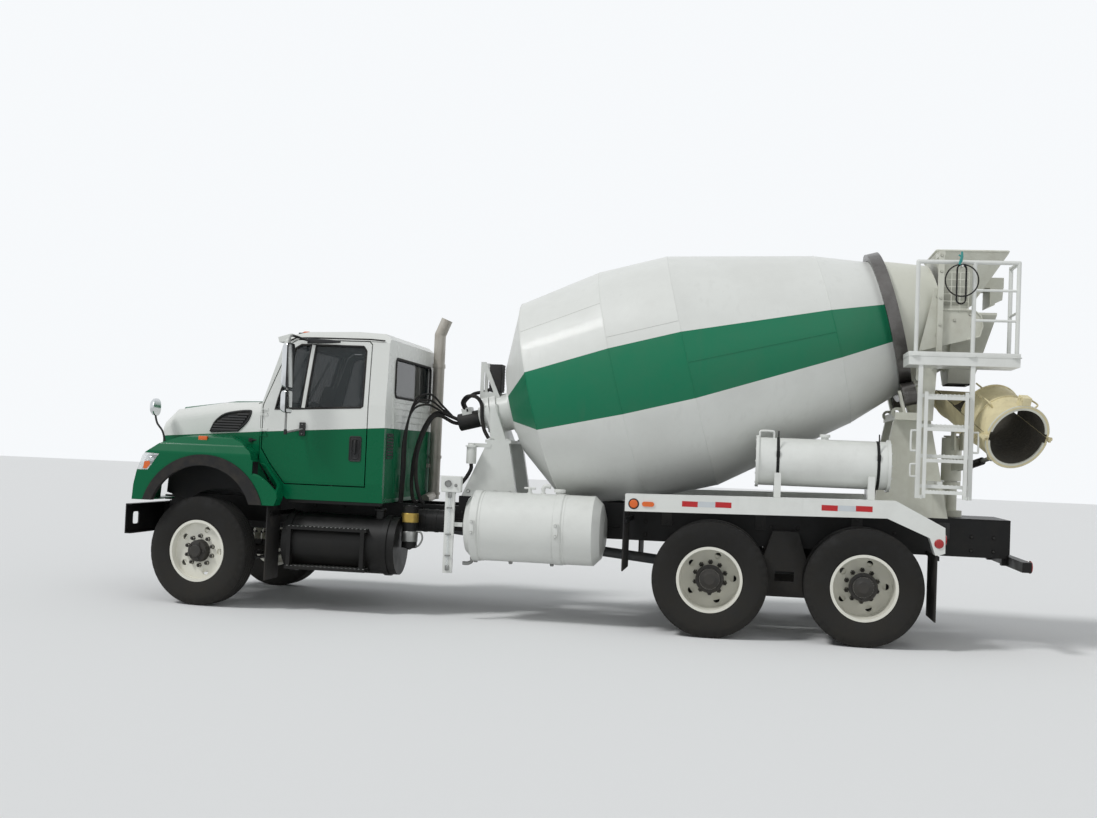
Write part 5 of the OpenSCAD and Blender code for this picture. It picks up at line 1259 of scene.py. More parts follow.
HYDRAULIC_HOSES = (
    [(2.32, -0.05, 2.02), (2.30, -0.09, 2.09), (2.36, -0.16, 2.15), (2.46, -0.20, 2.15), (2.52, -0.20, 2.08),
     (2.54, -0.235, 1.94), (2.57, -0.25, 1.82), (2.62, -0.26, 1.735)],
    [(2.32, 0.05, 2.02), (2.28, 0.09, 2.10), (2.36, 0.14, 2.19), (2.48, 0.13, 2.22), (2.58, 0.09, 2.26)],
    [(2.27, -0.045, 1.875), (2.20, -0.055, 1.885), (2.05, -0.16, 1.95), (1.97, -0.28, 1.80),
     (1.92, -0.38, 1.55), (1.93, -0.42, 1.30), (1.98, -0.43, 1.11), (2.02, -0.42, 1.055)],
    [(2.27, 0.02, 1.90), (2.19, 0.01, 1.935), (2.03, -0.05, 1.98), (1.94, -0.18, 1.84), (1.88, -0.30, 1.56),
     (1.87, -0.36, 1.28), (1.90, -0.39, 1.10), (1.95, -0.40, 1.055)],
    [(2.50, -0.48, 1.475), (2.50, -0.48, 1.42), (2.45, -0.47, 1.33), (2.36, -0.45, 1.22), (2.30, -0.43, 1.12),
     (2.26, -0.41, 1.055)],
)


def make_hydraulic_lines():
    """Hoses of the motor, the cooler and the filter, and three thin lines up the cab's rear wall."""
    shape = Shape()
    for path in HYDRAULIC_HOSES:
        shape.bend(path, 0.019, 10, 6)
    for shift in (0.0, 0.05, 0.11):
        y, lift, half = shift - 0.50, shift, shift / 2
        shape.bend([
            (1.79, y, 1.06), (1.80, y, 1.35), (1.80, y + 0.03, 1.70 + lift), (1.86, y + 0.10, 1.98 + lift),
            (1.98, y + 0.22, 2.05 + lift), (2.10, -0.16 + half, 1.99 + half), (2.21, -0.09 + half, 1.93),
            (2.275, -0.065 + half, 1.905),
        ], 0.011, 8, 6)
    shape.piece("hydraulic_lines", "rubber")


def make_oil_filter_head():
    """Head of the oil filter beside the front pedestal, and the bare sleeve round its can."""
    shape = Shape()
    x, y = 2.50, -0.48
    head = [(0.0, 0.018), (0.030, 0.018), (0.034, 0.006), (0.050, 0.0), (0.050, -0.030), (0.049, -0.032)]
    shape.lathe(head, (x, y, 1.655), (0, 0, 1), 32)
    sleeve = [(0.049, 0.0), (0.0495, 0.004), (0.0495, 0.140), (0.049, 0.144)]
    shape.lathe(sleeve, (x, y, 1.478), (0, 0, 1), 32)
    shape.piece("oil_filter_head", "white")


# Running gear

DRIVE_AXLES = (MID_AXLE, REAR_AXLE)
FUEL_FILTER = (1.99, -0.80)


def make_spring_and_shaft_details():
    """Spring clips and bolts, shock absorbers, propshaft joints, brake levers and axle covers."""
    shape = Shape()
    for side in SIDES.values():
        y, shock_y = side * 0.385, side * 0.47
        for x in (-0.38, -0.2, 0.2, 0.38):
            shape.box((x - 0.012, y - 0.046, 0.49), (x + 0.012, y + 0.046, 0.545), 0.004)
        for x in (-0.047, 0.047):
            for dy in (-0.045, 0.045):
                shape.bolt((x, y + dy, 0.622), (0, 0, 1), 0.013, 0.02)
        shape.tube([(0.09, shock_y, 0.46), (0.16, shock_y, 0.66)], 0.030, 18)
        shape.tube([(0.16, shock_y, 0.66), (0.21, shock_y, 0.80)], 0.018, 14)
    half_yoke = Vector((0.035, 0.016, 0.016))
    for x, z in ((1.34, 0.873), (4.51, 0.574), (5.14, 0.563), (5.90, 0.560)):
        for dy, dz in circle(4, 0.062, 0.4):
            place = spot(x, dy, z + dz)
            shape.box(place - half_yoke, place + half_yoke, 0.006)
    for x in DRIVE_AXLES:
        for side in SIDES.values():
            y = side * 0.30
            shape.tube([(x + 0.10, y, 0.69), (x + 0.02, y, 0.69)], 0.011, 10)
            shape.box((x + 0.005, y - 0.018, 0.55), (x + 0.035, y + 0.018, 0.71), 0.006)
            for dy, dz in circle(6, 0.083):
                shape.bolt((x + 0.206, y + dy, 0.69 + dz), (1, 0, 0), 0.006, 0.006)
        shape.lathe([(0.135, 0.0), (0.145, 0.008), (0.145, 0.020), (0.120, 0.028)], (x + 0.150, 0, AXLE_Z),
                    (1, 0, 0), 40)
    shape.piece("running_gear_details", "cast")


def make_air_lines():
    """Brake hoses of the drive axles and two lines along each rail."""
    shape = Shape()
    for side in SIDES.values():
        for x in DRIVE_AXLES:
            shape.bend(mirrored([(x + 0.29, 0.30, 0.72), (x + 0.34, 0.29, 0.76), (x + 0.36, 0.26, 0.84),
                                 (x + 0.30, 0.20, 0.92)], side), 0.008, 8)
        for lift in (0.0, 0.02):
            stations = (2.0, 2.6, 3.2, 3.8, 4.0)
            line = [(x, side * 0.438, 0.905 + 0.004 * math.sin(7 * x) + lift) for x in stations]
            shape.bend(line, 0.007, 6)
    shape.piece("air_lines", "rubber")


def make_air_tank_ends():
    """Domed ends and bands of the air tanks, and the fuel filter's ends."""
    shape = Shape()
    for y, z, r, ends in ((-0.60, 0.90, 0.11, (1.98, 2.33)), (0.60, 0.88, 0.13, (2.0, 2.8))):
        for x, sign in zip(ends, (-1, 1)):
            edge = r + 0.002
            dome = [(0.0, 0.010), (r * 0.6, 0.008), (r * 0.9, 0.002), (edge, -0.006), (edge, -0.012)]
            shape.lathe(dome, (x, y, z), (sign, 0, 0), 32)
        for x in (ends[0] + 0.12, ends[1] - 0.12):
            shape.lathe(band(r, r + 0.004, 0.018, 0.016), (x, y, z), (1, 0, 0), 40)
    shape.lathe([(0.0, 0.012), (0.045, 0.012), (0.050, 0.004), (0.077, -0.002), (0.077, -0.03)],
                (*FUEL_FILTER, 1.04), (0, 0, 1), 32)
    shape.lathe([(0.0, 0.020), (0.012, 0.020), (0.030, 0.008), (0.066, 0.0)], (*FUEL_FILTER, 0.64),
                (0, 0, -1), 32)
    shape.piece("air_tank_ends", "black")


def make_fuel_filter():
    """Yellow head and bright bowl of the fuel filter, with its pipes."""
    head, bowl = Shape(), Shape()
    head.lathe([(0.077, 0.0), (0.081, 0.004), (0.081, 0.085), (0.077, 0.09)], (*FUEL_FILTER, 0.885),
               (0, 0, 1), 32)
    head.piece("fuel_filter_head", "zinc")
    bowl.lathe([(0.077, 0.0), (0.080, 0.003), (0.080, 0.095), (0.077, 0.10)], (*FUEL_FILTER, 0.70),
               (0, 0, 1), 32)
    bowl.tube([(1.90, -0.80, 0.77), (1.86, -0.80, 0.77)], 0.020, 12)
    bowl.bend([(2.06, -0.82, 0.80), (2.11, -0.83, 0.79), (2.125, -0.83, 0.73), (2.09, -0.83, 0.665),
               (2.04, -0.82, 0.655)], 0.009, 8)
    bowl.piece("fuel_filter_bowl", "steel")


# Drum

# Drum's outer outline: place along the axis and radius
DRUM_SECTIONS = [(-1.79, 0.47), (-1.49, 1.04), (-0.66, 1.17), (0.03, 1.17), (1.42, 0.845), (1.90, 0.672),
                 (2.04, 0.648), (2.46, 0.50)]
TRACK_T, TRACK_R = 1.97, 0.74
ROLLER_R, ROLLER_ANGLE = 0.11, math.radians(35)
HATCH_T, HATCH_ANGLE = -0.30, math.radians(-25)


def drum_radius(t):
    """Outer radius of the drum at t along its axis."""
    for (ta, ra), (tb, rb) in zip(DRUM_SECTIONS, DRUM_SECTIONS[1:]):
        if t <= tb:
            return ra + (rb - ra) * (t - ta) / (tb - ta)
    return DRUM_SECTIONS[-1][1]


def make_weld_seams():
    """Round seams between the drum's sections and three lengthwise seams in each of its long ones."""
    shape = Shape()
    for t in (-1.49, -0.66, 0.03, 1.42, 2.04):
        r = drum_radius(t)
        shape.lathe(band(r - 0.001, r + 0.0028, 0.006, 0.003), on_drum(t, 0, 0), DRUM_AXIS, 128)
    for a in round_drum(3, math.radians(20)):
        for (ta, _), (tb, _) in zip(DRUM_SECTIONS[1:4], DRUM_SECTIONS[2:5]):
            turn = a + 0.35 * (ta > -1) + 0.35 * (ta > 0)
            shape.tube([on_drum(t, drum_radius(t) + 0.0005, turn) for t in (ta, tb)], 0.004, 5)
    shape.piece("drum_weld_seams", "drum", "drum")


def make_hatch():
    """Bolted hatch in the drum's belly."""
    shape = Shape()
    rings = []
    for out, grow in ((0.0, 1.0), (0.014, 1.0), (0.020, 0.94)):
        outline = rounded_box(0.26 * grow, 0.19 * grow, 0.06, 0, 0, 6)
        rings.append([on_drum(HATCH_T + u, drum_radius(HATCH_T + u) + out, HATCH_ANGLE + v / 1.17)
                      for u, v in outline])
    shape.loft(rings)
    for u, v in rounded_box(0.235, 0.165, 0.05, 0, 0, 1):
        place = on_drum(HATCH_T + u, drum_radius(HATCH_T) + 0.019, HATCH_ANGLE + v / 1.17)
        shape.bolt(place, place - on_drum(HATCH_T + u, 0, 0), 0.013, 0.012)
    shape.piece("drum_hatch", "white", "drum")


def make_drum_inside():
    """Mixing blades behind the mouth, and the mouth's lining: cement-coated, their dark colour partly painted
    shade.
    """
    blades, lining = Shape(), Shape()
    for start in (0.0, math.pi):
        inner, outer = [], []
        for k in range(37):
            t = 2.44 - 0.9 * k / 36
            a = start + 2.1 * math.pi * k / 36
            r = drum_radius(t) - 0.013
            inner.append(on_drum(t - 0.10, r - 0.24, a))
            outer.append(on_drum(t, r, a))
        blades.sheet(inner, outer, DRUM_AXIS * 0.006)
    blades.piece("mixing_blades", "inside", "drum")
    lining.loft([
        [on_drum(t, r, a) for a in round_drum(72)]
        for t, r in ((2.461, 0.500), (2.4615, 0.494), (2.455, 0.4875), (2.2, 0.576), (1.6, 0.758))
    ], caps=False)
    lining.piece("drum_mouth_lining", "inside", "drum")


def make_track_edges():
    """Turned edges of the track ring."""
    shape = Shape()
    for edge in (-0.057, 0.057):
        shape.lathe([(0.736, edge * 0.94), (0.7405, edge * 0.96), (0.7405, edge), (0.700, edge),
                     (0.700, edge * 0.94), (0.736, edge * 0.94)], on_drum(TRACK_T, 0, 0), DRUM_AXIS, 128)
    shape.piece("track_ring_edges", "track", "drum")


def make_roller_trim():
    """Turned end faces of the two rollers."""
    for name, side in SIDES.items():
        shape = Shape()
        angle = math.atan2(-math.cos(ROLLER_ANGLE), side * math.sin(ROLLER_ANGLE))
        for end in (-1, 1):
            centre = on_drum(TRACK_T + end * 0.060, TRACK_R + ROLLER_R + 0.0005, angle)
            shape.lathe([(0.034, 0.004), (0.060, 0.003), (0.075, 0.0), (0.098, 0.0015), (0.104, 0.0)], centre,
                        DRUM_AXIS * end, 40)
        shape.piece(f"roller_faces_{name}", "track", f"roller_{name}")


# Platform and hopper

RAILS_X, RAILS_Y = (6.66, 7.15, 7.53), -1.10
# Ladder's body, place across, inner ends, lowest rung and rung pitch
LADDERS = {
    "folding": ("ladder_lower", -1.160, 6.775, 7.095, 1.39, 0.28),
    "fixed": ("chassis", -1.110, 6.73, 7.14, 1.44, 0.27),
}


def make_platform_trim():
    """Grating, toe boards, rails, ladder handles and the grips on the rungs."""
    grating, rails = Shape(), Shape()
    for i in range(31):
        x = 6.615 + 0.031 * i
        grating.box((x, -1.105, 2.6185), (x + 0.004, -0.705, 2.628))
    for i in range(14):
        y = -1.10 + 0.03 * i
        grating.box((6.612, y, 2.6185), (7.548, y + 0.004, 2.6265))
    grating.piece("platform_grating", "steel")
    rails.box((6.598, -1.124, 2.616), (7.562, -1.116, 2.660), 0.003)
    rails.box((6.596, -1.122, 2.616), (6.604, -0.690, 2.660), 0.003)
    for z in (2.95, 3.22):
        rails.tube([(7.15, RAILS_Y, z), (7.53, RAILS_Y, z)], 0.012, 12)
    rails.tube([(7.53, RAILS_Y, 3.03), (7.53, -0.73, 3.03)], 0.012, 12)
    socket = [(0.045, 0.0), (0.045, 0.008), (0.024, 0.010), (0.0195, 0.022)]
    for x in RAILS_X:
        rails.lathe(socket, (x, RAILS_Y, 2.62), (0, 0, 1), 20)
    for x, out, low, high in ((6.692, -1, 1.77, 1.95), (7.178, 1, 1.77, 1.95), (6.692, -1, 1.54, 1.65)):
        far, corner = x + out * 0.048, x + out * 0.036
        handle = ((x, high), (corner, high), (far, high - 0.012), (far, low + 0.012), (corner, low), (x, low))
        rails.bend([(px, -1.09, pz) for px, pz in handle], 0.009, 8, 3)
    rails.piece("platform_rails", "white")
    for name, (body, y, low, high, first, pitch) in LADDERS.items():
        grips = Shape()
        for i in range(4):
            for k in range(11):
                x = low + 0.015 + (high - low - 0.03) * k / 10
                place = (x, y + 0.016, first + pitch * i + 0.030)
                grips.lathe([(0.0, 0.004), (0.006, 0.004), (0.008, 0.0)], place, (0, 0, 1), 8)
        grips.piece(f"ladder_grips_{name}", "white", body)


# Hopper's funnel inside: front and rear edge, half width and height, at its throat and its rim
FUNNEL = ((7.02, 7.25, 0.27, 3.21), (6.92, 7.545, 0.415, 3.672))
# Rubber lip under the collector: height, half width, front and rear edge
LIP = ((2.452, 0.186, 7.079, 7.296), (2.440, 0.185, 7.080, 7.295), (2.430, 0.183, 7.082, 7.293))


def make_hopper_trim():
    """Folded rims, corner bolts and wear lining of the charge hopper, and the collector's rubber lip."""
    rims, lining, lip = Shape(), Shape(), Shape()
    rim = [(x, y, 3.681) for x, y in rounded_box(0.3275, 0.430, 0.012, 7.2325, 0.0, 2)]
    rims.tube(rim, 0.011, 8, closed=True)
    brace = ((6.95, 3.098), (7.24, 3.098), (7.298, 3.045), (7.316, 2.95), (7.29, 2.855), (7.18, 2.822))
    for side in SIDES.values():
        rims.tube([(x, side * 0.605, z) for x, z in brace], 0.008, 8)
        for x, z in ((6.90, 2.86), (6.93, 3.05), (7.06, 3.0), (7.22, 2.95), (7.20, 3.06), (6.90, 3.22)):
            rims.bolt((x, side * 0.600, z), (0, side, 0), 0.012, 0.009)
        for z in (2.70, 2.95, 3.2, 3.45, 3.60):
            rims.bolt((6.925, side * 0.650, z), (0, side, 0), 0.011, 0.008)
    rims.piece("hopper_rims", "rear")
    lining.loft([
        [(x0, half, z), (x1, half, z), (x1, -half, z), (x0, -half, z)]
        for x0, x1, half, z in FUNNEL
    ], caps=False)
    lining.piece("hopper_lining", "soot")
    lip.loft([
        [(x0, -half, z), (x1, -half, z), (x1, half, z), (x0, half, z)]
        for z, half, x0, x1 in LIP
    ], caps=False)
    lip.piece("collector_rubber", "rubber")


# Chutes, parked

CHUTE_TURN, CHUTE_SLOPE = math.radians(70), math.radians(24)
CHUTE_R, CHUTE_SKIN, CHUTE_L, FOLD_L = 0.278, 0.008, 1.281, 0.540
CHUTE_OUT = CHUTE_R + CHUTE_SKIN
SWING_POST_X, SWING_POST_Z = 7.16, 2.44
CHUTE_PLACE = (Matrix.Rotation(-CHUTE_TURN, 4, "Z") @ Matrix.Translation((0, 0, SWING_POST_Z))
               @ Matrix.Rotation(CHUTE_SLOPE, 4, "Y"))
FLANGE_BOLT_R = 0.293


def on_chute(along, across, up):
    """Point in the chute's own axes, from the swing post."""
    return spot(SWING_POST_X, 0, 0) + CHUTE_PLACE @ Vector((along, across, up))


def chute_arc(along, radius, first, last, steps=24):
    """Points round the chute; angles in degrees from its left edge over the top."""
    angles = [math.radians(first + (last - first) * k / steps) for k in range(steps + 1)]
    return [on_chute(along, -radius * math.cos(a), radius * math.sin(a)) for a in angles]


def make_fold_chute_edges():
    """Rolled edges and handles of the folded chute, and the bolts and pin of its hinge."""
    shape = Shape()
    for back, radius in ((0.012, 0.011), (FOLD_L - 0.008, 0.007), (0.27, 0.006)):
        shape.tube(chute_arc(CHUTE_L - back, CHUTE_OUT + 0.004, 6, 174), radius, 8)
    for side in (-1, 1):
        handle = ((0.42, 0.20, 0.085), (0.42, 0.235, 0.045), (0.32, 0.235, 0.045), (0.20, 0.235, 0.045),
                  (0.20, 0.20, 0.085))
        shape.bend([
            on_chute(CHUTE_L - back, side * across, CHUTE_OUT - down)
            for back, across, down in handle
        ], 0.008, 8, 4)
    for across in (-0.044, 0.044):
        for along in (CHUTE_L - 0.080, CHUTE_L - 0.022):
            place = on_chute(along, across, CHUTE_OUT + 0.060)
            shape.bolt(place, place - on_chute(along, 0, CHUTE_OUT + 0.060), 0.009, 0.007)
    shape.tube([on_chute(CHUTE_L - 0.05, across, CHUTE_OUT + 0.070) for across in (-0.055, 0.055)], 0.009, 10)
    shape.piece("fold_chute_edges", "chute", "fold_chute")


def make_chute_flange(name, first, last):
    """Bolted flange where the two chutes meet."""
    shape = Shape()
    front, rear, inner, outer = CHUTE_L - 0.018, CHUTE_L - 0.0045, 0.259, 0.301
    section = ((front, inner), (front, outer), (rear, outer), (rear, inner))
    arcs = [chute_arc(along, radius, first, last, 40) for along, radius in section]
    shape.loft([list(corners) for corners in zip(*arcs)])
    half = (last - first) / 12
    heads = chute_arc(front, FLANGE_BOLT_R, first + half, last - half, 5)
    feet = chute_arc(CHUTE_L, FLANGE_BOLT_R, first + half, last - half, 5)
    for head, foot in zip(heads, feet):
        shape.bolt(head, head - foot, 0.008, 0.008)
    shape.piece(f"{name}_chute_flange", "rear", f"{name}_chute", "cream_paint")


def make_main_chute_edges():
    """Rolled edges and grip of the main chute."""
    shape = Shape()
    for along, radius in ((CHUTE_L - 0.012, 0.011), (CHUTE_L - 0.45, 0.007), (0.20, 0.008)):
        shape.tube(chute_arc(along, CHUTE_OUT + 0.004, 186, 354), radius, 8)
    for side in (-1, 1):
        edge = [on_chute(-0.08 + 0.08 * k, side * (CHUTE_OUT - 0.002), -0.005) for k in range(9)]
        shape.tube(edge, 0.009, 8)
    grip = ((0.95, -0.01, -0.08), (0.95, 0.035, -0.10), (1.02, 0.035, -0.10), (1.10, 0.035, -0.10),
            (1.10, -0.01, -0.08))
    shape.bend([on_chute(along, -(CHUTE_OUT + out), up) for along, out, up in grip], 0.008, 8, 4)
    shape.piece("main_chute_edges", "chute", "main_chute")


def make_chute_lining(name, first, last, start, gap):
    """Concrete-covered inner face of a chute, its dark colour partly painted shade; the main one's is cut
    away under the collector.
    """
    shape = Shape()
    end, cuts = CHUTE_L - 0.008, 24
    shape.skin([
        chute_arc(start + (end - start) * k / cuts, CHUTE_R - gap, first, last)
        for k in range(cuts + 1)
    ])
    if name == "main":
        post = on_chute(0, 0, 0)
        under = [v for v in shape.bm.verts if v.co.z > 2.383 and (v.co - post).to_2d().length < 0.5]
        bmesh.ops.delete(shape.bm, geom=under, context="VERTS")
    shape.piece(f"{name}_chute_lining", "inside", f"{name}_chute", "cream_paint")


def make_chute_trim():
    """Edges, flanges and dried concrete of the two chutes; the concrete's dark colour is partly painted
    shade.
    """
    make_fold_chute_edges()
    make_chute_flange("main", 189, 351)
    make_chute_flange("fold", 9, 171)
    make_main_chute_edges()
    make_chute_lining("main", 178, 362, -0.09, 0.003)
    make_chute_lining("fold", 3, 177, CHUTE_L - FOLD_L + 0.004, 0.0012)


# Wash hose: it hangs on its hook in three flat oval turns, with one wide round turn in front

HOSE_X, HOSE_Y, HOSE_D, HOOK_Z = 7.03, -1.123, 0.013, 3.425
HOOK_R = 0.009
HANK_R, HANK_DROP, HANK_TURNS, LOOP_R = 0.040, 0.270, 3, 0.143
HOOK_REACH = 0.042


def oval_point(distance):
    """Place (x, z) on an oval turn, from the middle of its upper arc, at a distance from its top."""
    quarter = math.pi * HANK_R / 2
    if distance < quarter:
        a = math.pi / 2 - distance / HANK_R
        return HANK_R * math.cos(a), HANK_R * math.sin(a)
    if distance < quarter + HANK_DROP:
        return HANK_R, quarter - distance
    if distance < 3 * quarter + HANK_DROP:
        a = (quarter + HANK_DROP - distance) / HANK_R
        return HANK_R * math.cos(a), HANK_R * math.sin(a) - HANK_DROP
    if distance < 3 * quarter + 2 * HANK_DROP:
        return -HANK_R, distance - 3 * quarter - 2 * HANK_DROP
    a = math.pi - (distance - 3 * quarter - 2 * HANK_DROP) / HANK_R
    return HANK_R * math.cos(a), HANK_R * math.sin(a)


def hose_route():
    """Centre line of the wash hose: the oval turns side by side, then the round one."""
    crown = HOOK_Z + HOOK_R + HOSE_D / 2
    turn_length = 2 * HANK_DROP + 2 * math.pi * HANK_R
    points = []
    per_turn = 48
    for k in range(HANK_TURNS * per_turn + 1):
        turn, step = divmod(k, per_turn)
        y = HOSE_Y - 0.007 - 0.0140 * min(k / per_turn, HANK_TURNS - 0.001)
        x, z = oval_point(step / per_turn * turn_length)
        points.append(spot(HOSE_X + x, max(y, HOSE_Y - HOOK_REACH + 0.0066), crown - HANK_R + z))
    last = points[-1].y
    front = HOSE_Y - HOOK_REACH - HOSE_D / 2
    for k in range(1, 41):
        a = math.pi / 2 - 2 * math.pi * 0.97 * k / 40
        ease = min(1.0, k / 5)
        points.append(spot(HOSE_X + LOOP_R * math.cos(a), last + (front - last) * ease,
                           crown - LOOP_R + LOOP_R * math.sin(a)))
    return points


def make_hose():
    """The wash hose on its hook and its spray gun."""
    route = hose_route()
    turns, gun = Shape(), Shape()
    turns.tube(route, HOSE_D / 2, 10)
    hose = turns.piece("wash_hose_turns", "rubber", angle=60)
    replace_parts(hose, "wash_hose")
    end = route[-1]
    barrel = [end + Vector(step) for step in ((0, 0, 0), (0.012, -0.004, 0.03), (0.02, -0.006, 0.07),
                                              (0.02, -0.006, 0.115))]
    gun.tube(barrel, [0.010, 0.014, 0.013, 0.009], 12)
    gun.tube([barrel[2], barrel[2] + Vector((-0.03, 0, 0.015))], [0.009, 0.006], 10)
    tool = gun.piece("spray_gun", "teal")


# Stage

# Camera solved from the photograph: its place, its angles, and its focal length in pixels of the photograph
CAMERA_PLACE = (5.219, -13.096, 1.627)
YAW, PITCH, ROLL = -0.1546, -0.0326, 0.0412
FOCAL_PX, PHOTO_W = 1299.4, 1097
SENSOR_MM = 36.0


def make_camera():
    """Camera that stands where the photograph was taken."""
    ahead = Vector((math.sin(YAW) * math.cos(PITCH), math.cos(YAW) * math.cos(PITCH), -math.sin(PITCH)))
    level = Vector((math.cos(YAW), -math.sin(YAW), 0))
    rise = level.cross(ahead)
    right = level * math.cos(ROLL) + rise * math.sin(ROLL)
    up = rise * math.cos(ROLL) - level * math.sin(ROLL)
    data = bpy.data.cameras.new("photo_camera")
    data.sensor_width = SENSOR_MM
    data.lens = SENSOR_MM * FOCAL_PX / PHOTO_W
    data.clip_end = 200.0
    camera = bpy.data.objects.new("photo_camera", data)
    turn = Matrix((right, up, -ahead)).transposed().to_4x4()
    camera.matrix_world = Matrix.Translation(spot(*CAMERA_PLACE)) @ turn
    bpy.context.scene.collection.objects.link(camera)
    bpy.context.scene.camera = camera


def make_floor(colour):
    """Pale floor that keeps shadows, a millimetre below the tyres."""
    half, top = 60.0, -0.001
    bm = bmesh.new()
    corners = ((-half, -half), (half, -half), (half, half), (-half, half))
    bm.faces.new([bm.verts.new((x, y, top)) for x, y in corners])
    mesh = bpy.data.meshes.new("floor")
    bm.to_mesh(mesh)
    bm.free()
    # Matt studio board, painted
    mesh.materials.append(plain("floor", colour, 0.9, Specular_IOR_Level=0.1))
    floor = bpy.data.objects.new("floor", mesh)
    bpy.context.scene.collection.objects.link(floor)


def make_world(sky):
    """Pale sky: full strength to the camera, in reflections and through glass, and sky strong as a light."""
    world = bpy.data.worlds.new("studio")
    bpy.context.scene.world = world
    world.use_nodes = True
    tree = world.node_tree
    tree.nodes.clear()
    rays = add_node(tree, "ShaderNodeLightPath").outputs
    glossy, through = rays["Is Glossy Ray"], rays["Is Transmission Ray"]
    bent = add_node(tree, MATH, {0: glossy, 1: through}, operation="MAXIMUM")
    seen = add_node(tree, MATH, {0: rays["Is Camera Ray"], 1: bent}, operation="MAXIMUM")
    strength = add_node(tree, MATH, {0: seen, 1: 1.0 - sky, 2: sky}, operation="MULTIPLY_ADD")
    light = add_node(tree, "ShaderNodeBackground", {"Color": (0.93, 0.95, 0.97, 1.0), "Strength": strength})
    add_node(tree, "ShaderNodeOutputWorld", {"Surface": light})


def make_lamps(key):
    """Key lamp, and a weaker and softer fill from the other side."""
    lamps = (("key", (38, -12, -38), key, 12), ("fill", (62, 8, 40), key * 0.22, 40))
    for name, angles, power, spread in lamps:
        lamp = bpy.data.lights.new(name, "SUN")
        lamp.energy = power
        lamp.angle = math.radians(spread)
        obj = bpy.data.objects.new(name, lamp)
        obj.rotation_euler = [math.radians(a) for a in angles]
        bpy.context.scene.collection.objects.link(obj)


# Panel, settings and operators


class MixerPaint(bpy.types.PropertyGroup):
    """Paint colours as six-digit sRGB codes."""

    white: bpy.props.StringProperty(
        name="White", description="White of the drum, cab and tanks", default="dfe1dd"
    )
    green: bpy.props.StringProperty(
        name="Cab green", description="Green of the lower cab and the wings", default="02603d"
    )
    band: bpy.props.StringProperty(
        name="Band green", description="Green of the drum's band", default="067350"
    )
    cream: bpy.props.StringProperty(name="Wheels", description="Paint of the rims", default="e4e3d8")
    rear: bpy.props.StringProperty(
        name="Rear", description="Paint of the rear posts, the hopper and the drum's rear cone",
        default="d3d4c8"
    )


class MixerDrum(bpy.types.PropertyGroup):
    """Painted band of the drum."""

    low_edge: bpy.props.FloatProperty(
        name="Lower edge", description="Lower edge of the band, seen from the axis",
        default=math.radians(-16.8), subtype="ANGLE", unit="ROTATION",
    )
    high_edge: bpy.props.FloatProperty(
        name="Upper edge", description="Upper edge of the band, seen from the axis",
        default=math.radians(14.3), subtype="ANGLE", unit="ROTATION",
    )


class MixerTyres(bpy.types.PropertyGroup):
    """Tread of the tyres."""

    tread_depth: bpy.props.FloatProperty(
        name="Tread depth", description="Depth of the grooves", default=0.012, subtype="DISTANCE",
        unit="LENGTH",
    )
    pitches: bpy.props.IntProperty(
        name="Pitches", description="Tread pitches round one tyre", default=40, min=20, max=60
    )


class MixerStage(bpy.types.PropertyGroup):
    """Floor and lights."""

    floor: bpy.props.StringProperty(
        name="Floor", description="Floor colour as a six-digit sRGB code", default="e9eaea"
    )
    key: bpy.props.FloatProperty(
        name="Key light", description="Strength of the main lamp", default=1.45, min=0.0
    )
    sky: bpy.props.FloatProperty(
        name="Sky light", description="Strength of the light from all round", default=0.48, min=0.0
    )


class MIXER_OT_paint(bpy.types.Operator):
    """Makes the finishes and paints the solids"""

    bl_idname = "mixer.paint"
    bl_label = "Paint"

    def execute(self, context):
        make_finishes(context.scene.mixer_paint, context.scene.mixer_drum)
        dress_nodes()
        return {"FINISHED"}


class MIXER_OT_wheels(bpy.types.Operator):
    """Adds treaded tyres, hub caps and nuts"""

    bl_idname = "mixer.wheels"
    bl_label = "Wheels"

    def execute(self, context):
        make_tyres(context.scene.mixer_tyres)
        make_hubs()
        return {"FINISHED"}


class MIXER_OT_stage(bpy.types.Operator):
    """Adds the floor, the lights and the camera"""

    bl_idname = "mixer.stage"
    bl_label = "Stage"

    def execute(self, context):
        stage = context.scene.mixer_stage
        context.scene.view_settings.view_transform = "Standard"
        make_floor(stage.floor)
        make_world(stage.sky)
        make_lamps(stage.key)
        make_camera()
        return {"FINISHED"}


class MIXER_OT_hose(bpy.types.Operator):
    """Hangs the wash hose on its hook, with its spray gun"""

    bl_idname = "mixer.hose"
    bl_label = "Hose"

    def execute(self, context):
        make_hose()
        return {"FINISHED"}


class MIXER_OT_bonnet(bpy.types.Operator):
    """Adds the raised middle, intakes, grille and lamps of the bonnet"""

    bl_idname = "mixer.bonnet"
    bl_label = "Bonnet"

    def execute(self, context):
        make_bonnet_trim()
        make_grille_trim()
        make_splash_panels()
        make_headlamps()
        return {"FINISHED"}


class MIXER_OT_mirrors(bpy.types.Operator):
    """Adds the mirrors and their arms"""

    bl_idname = "mixer.mirrors"
    bl_label = "Mirrors"

    def execute(self, context):
        make_mirrors()
        make_wing_mirrors()
        return {"FINISHED"}


class MIXER_OT_cab(bpy.types.Operator):
    """Adds window rubbers, handles, wipers, roof lamps, the pressed rear wall and the seats"""

    bl_idname = "mixer.cab"
    bl_label = "Cab"

    def execute(self, context):
        make_cab_trim()
        make_seats()
        return {"FINISHED"}


class MIXER_OT_chassis(bpy.types.Operator):
    """Adds bolts, hooks, lamps, tapes and the running gear's small parts"""

    bl_idname = "mixer.chassis"
    bl_label = "Chassis"

    def execute(self, context):
        make_frame_trim()
        make_spring_and_shaft_details()
        make_air_lines()
        make_air_tank_ends()
        make_fuel_filter()
        return {"FINISHED"}


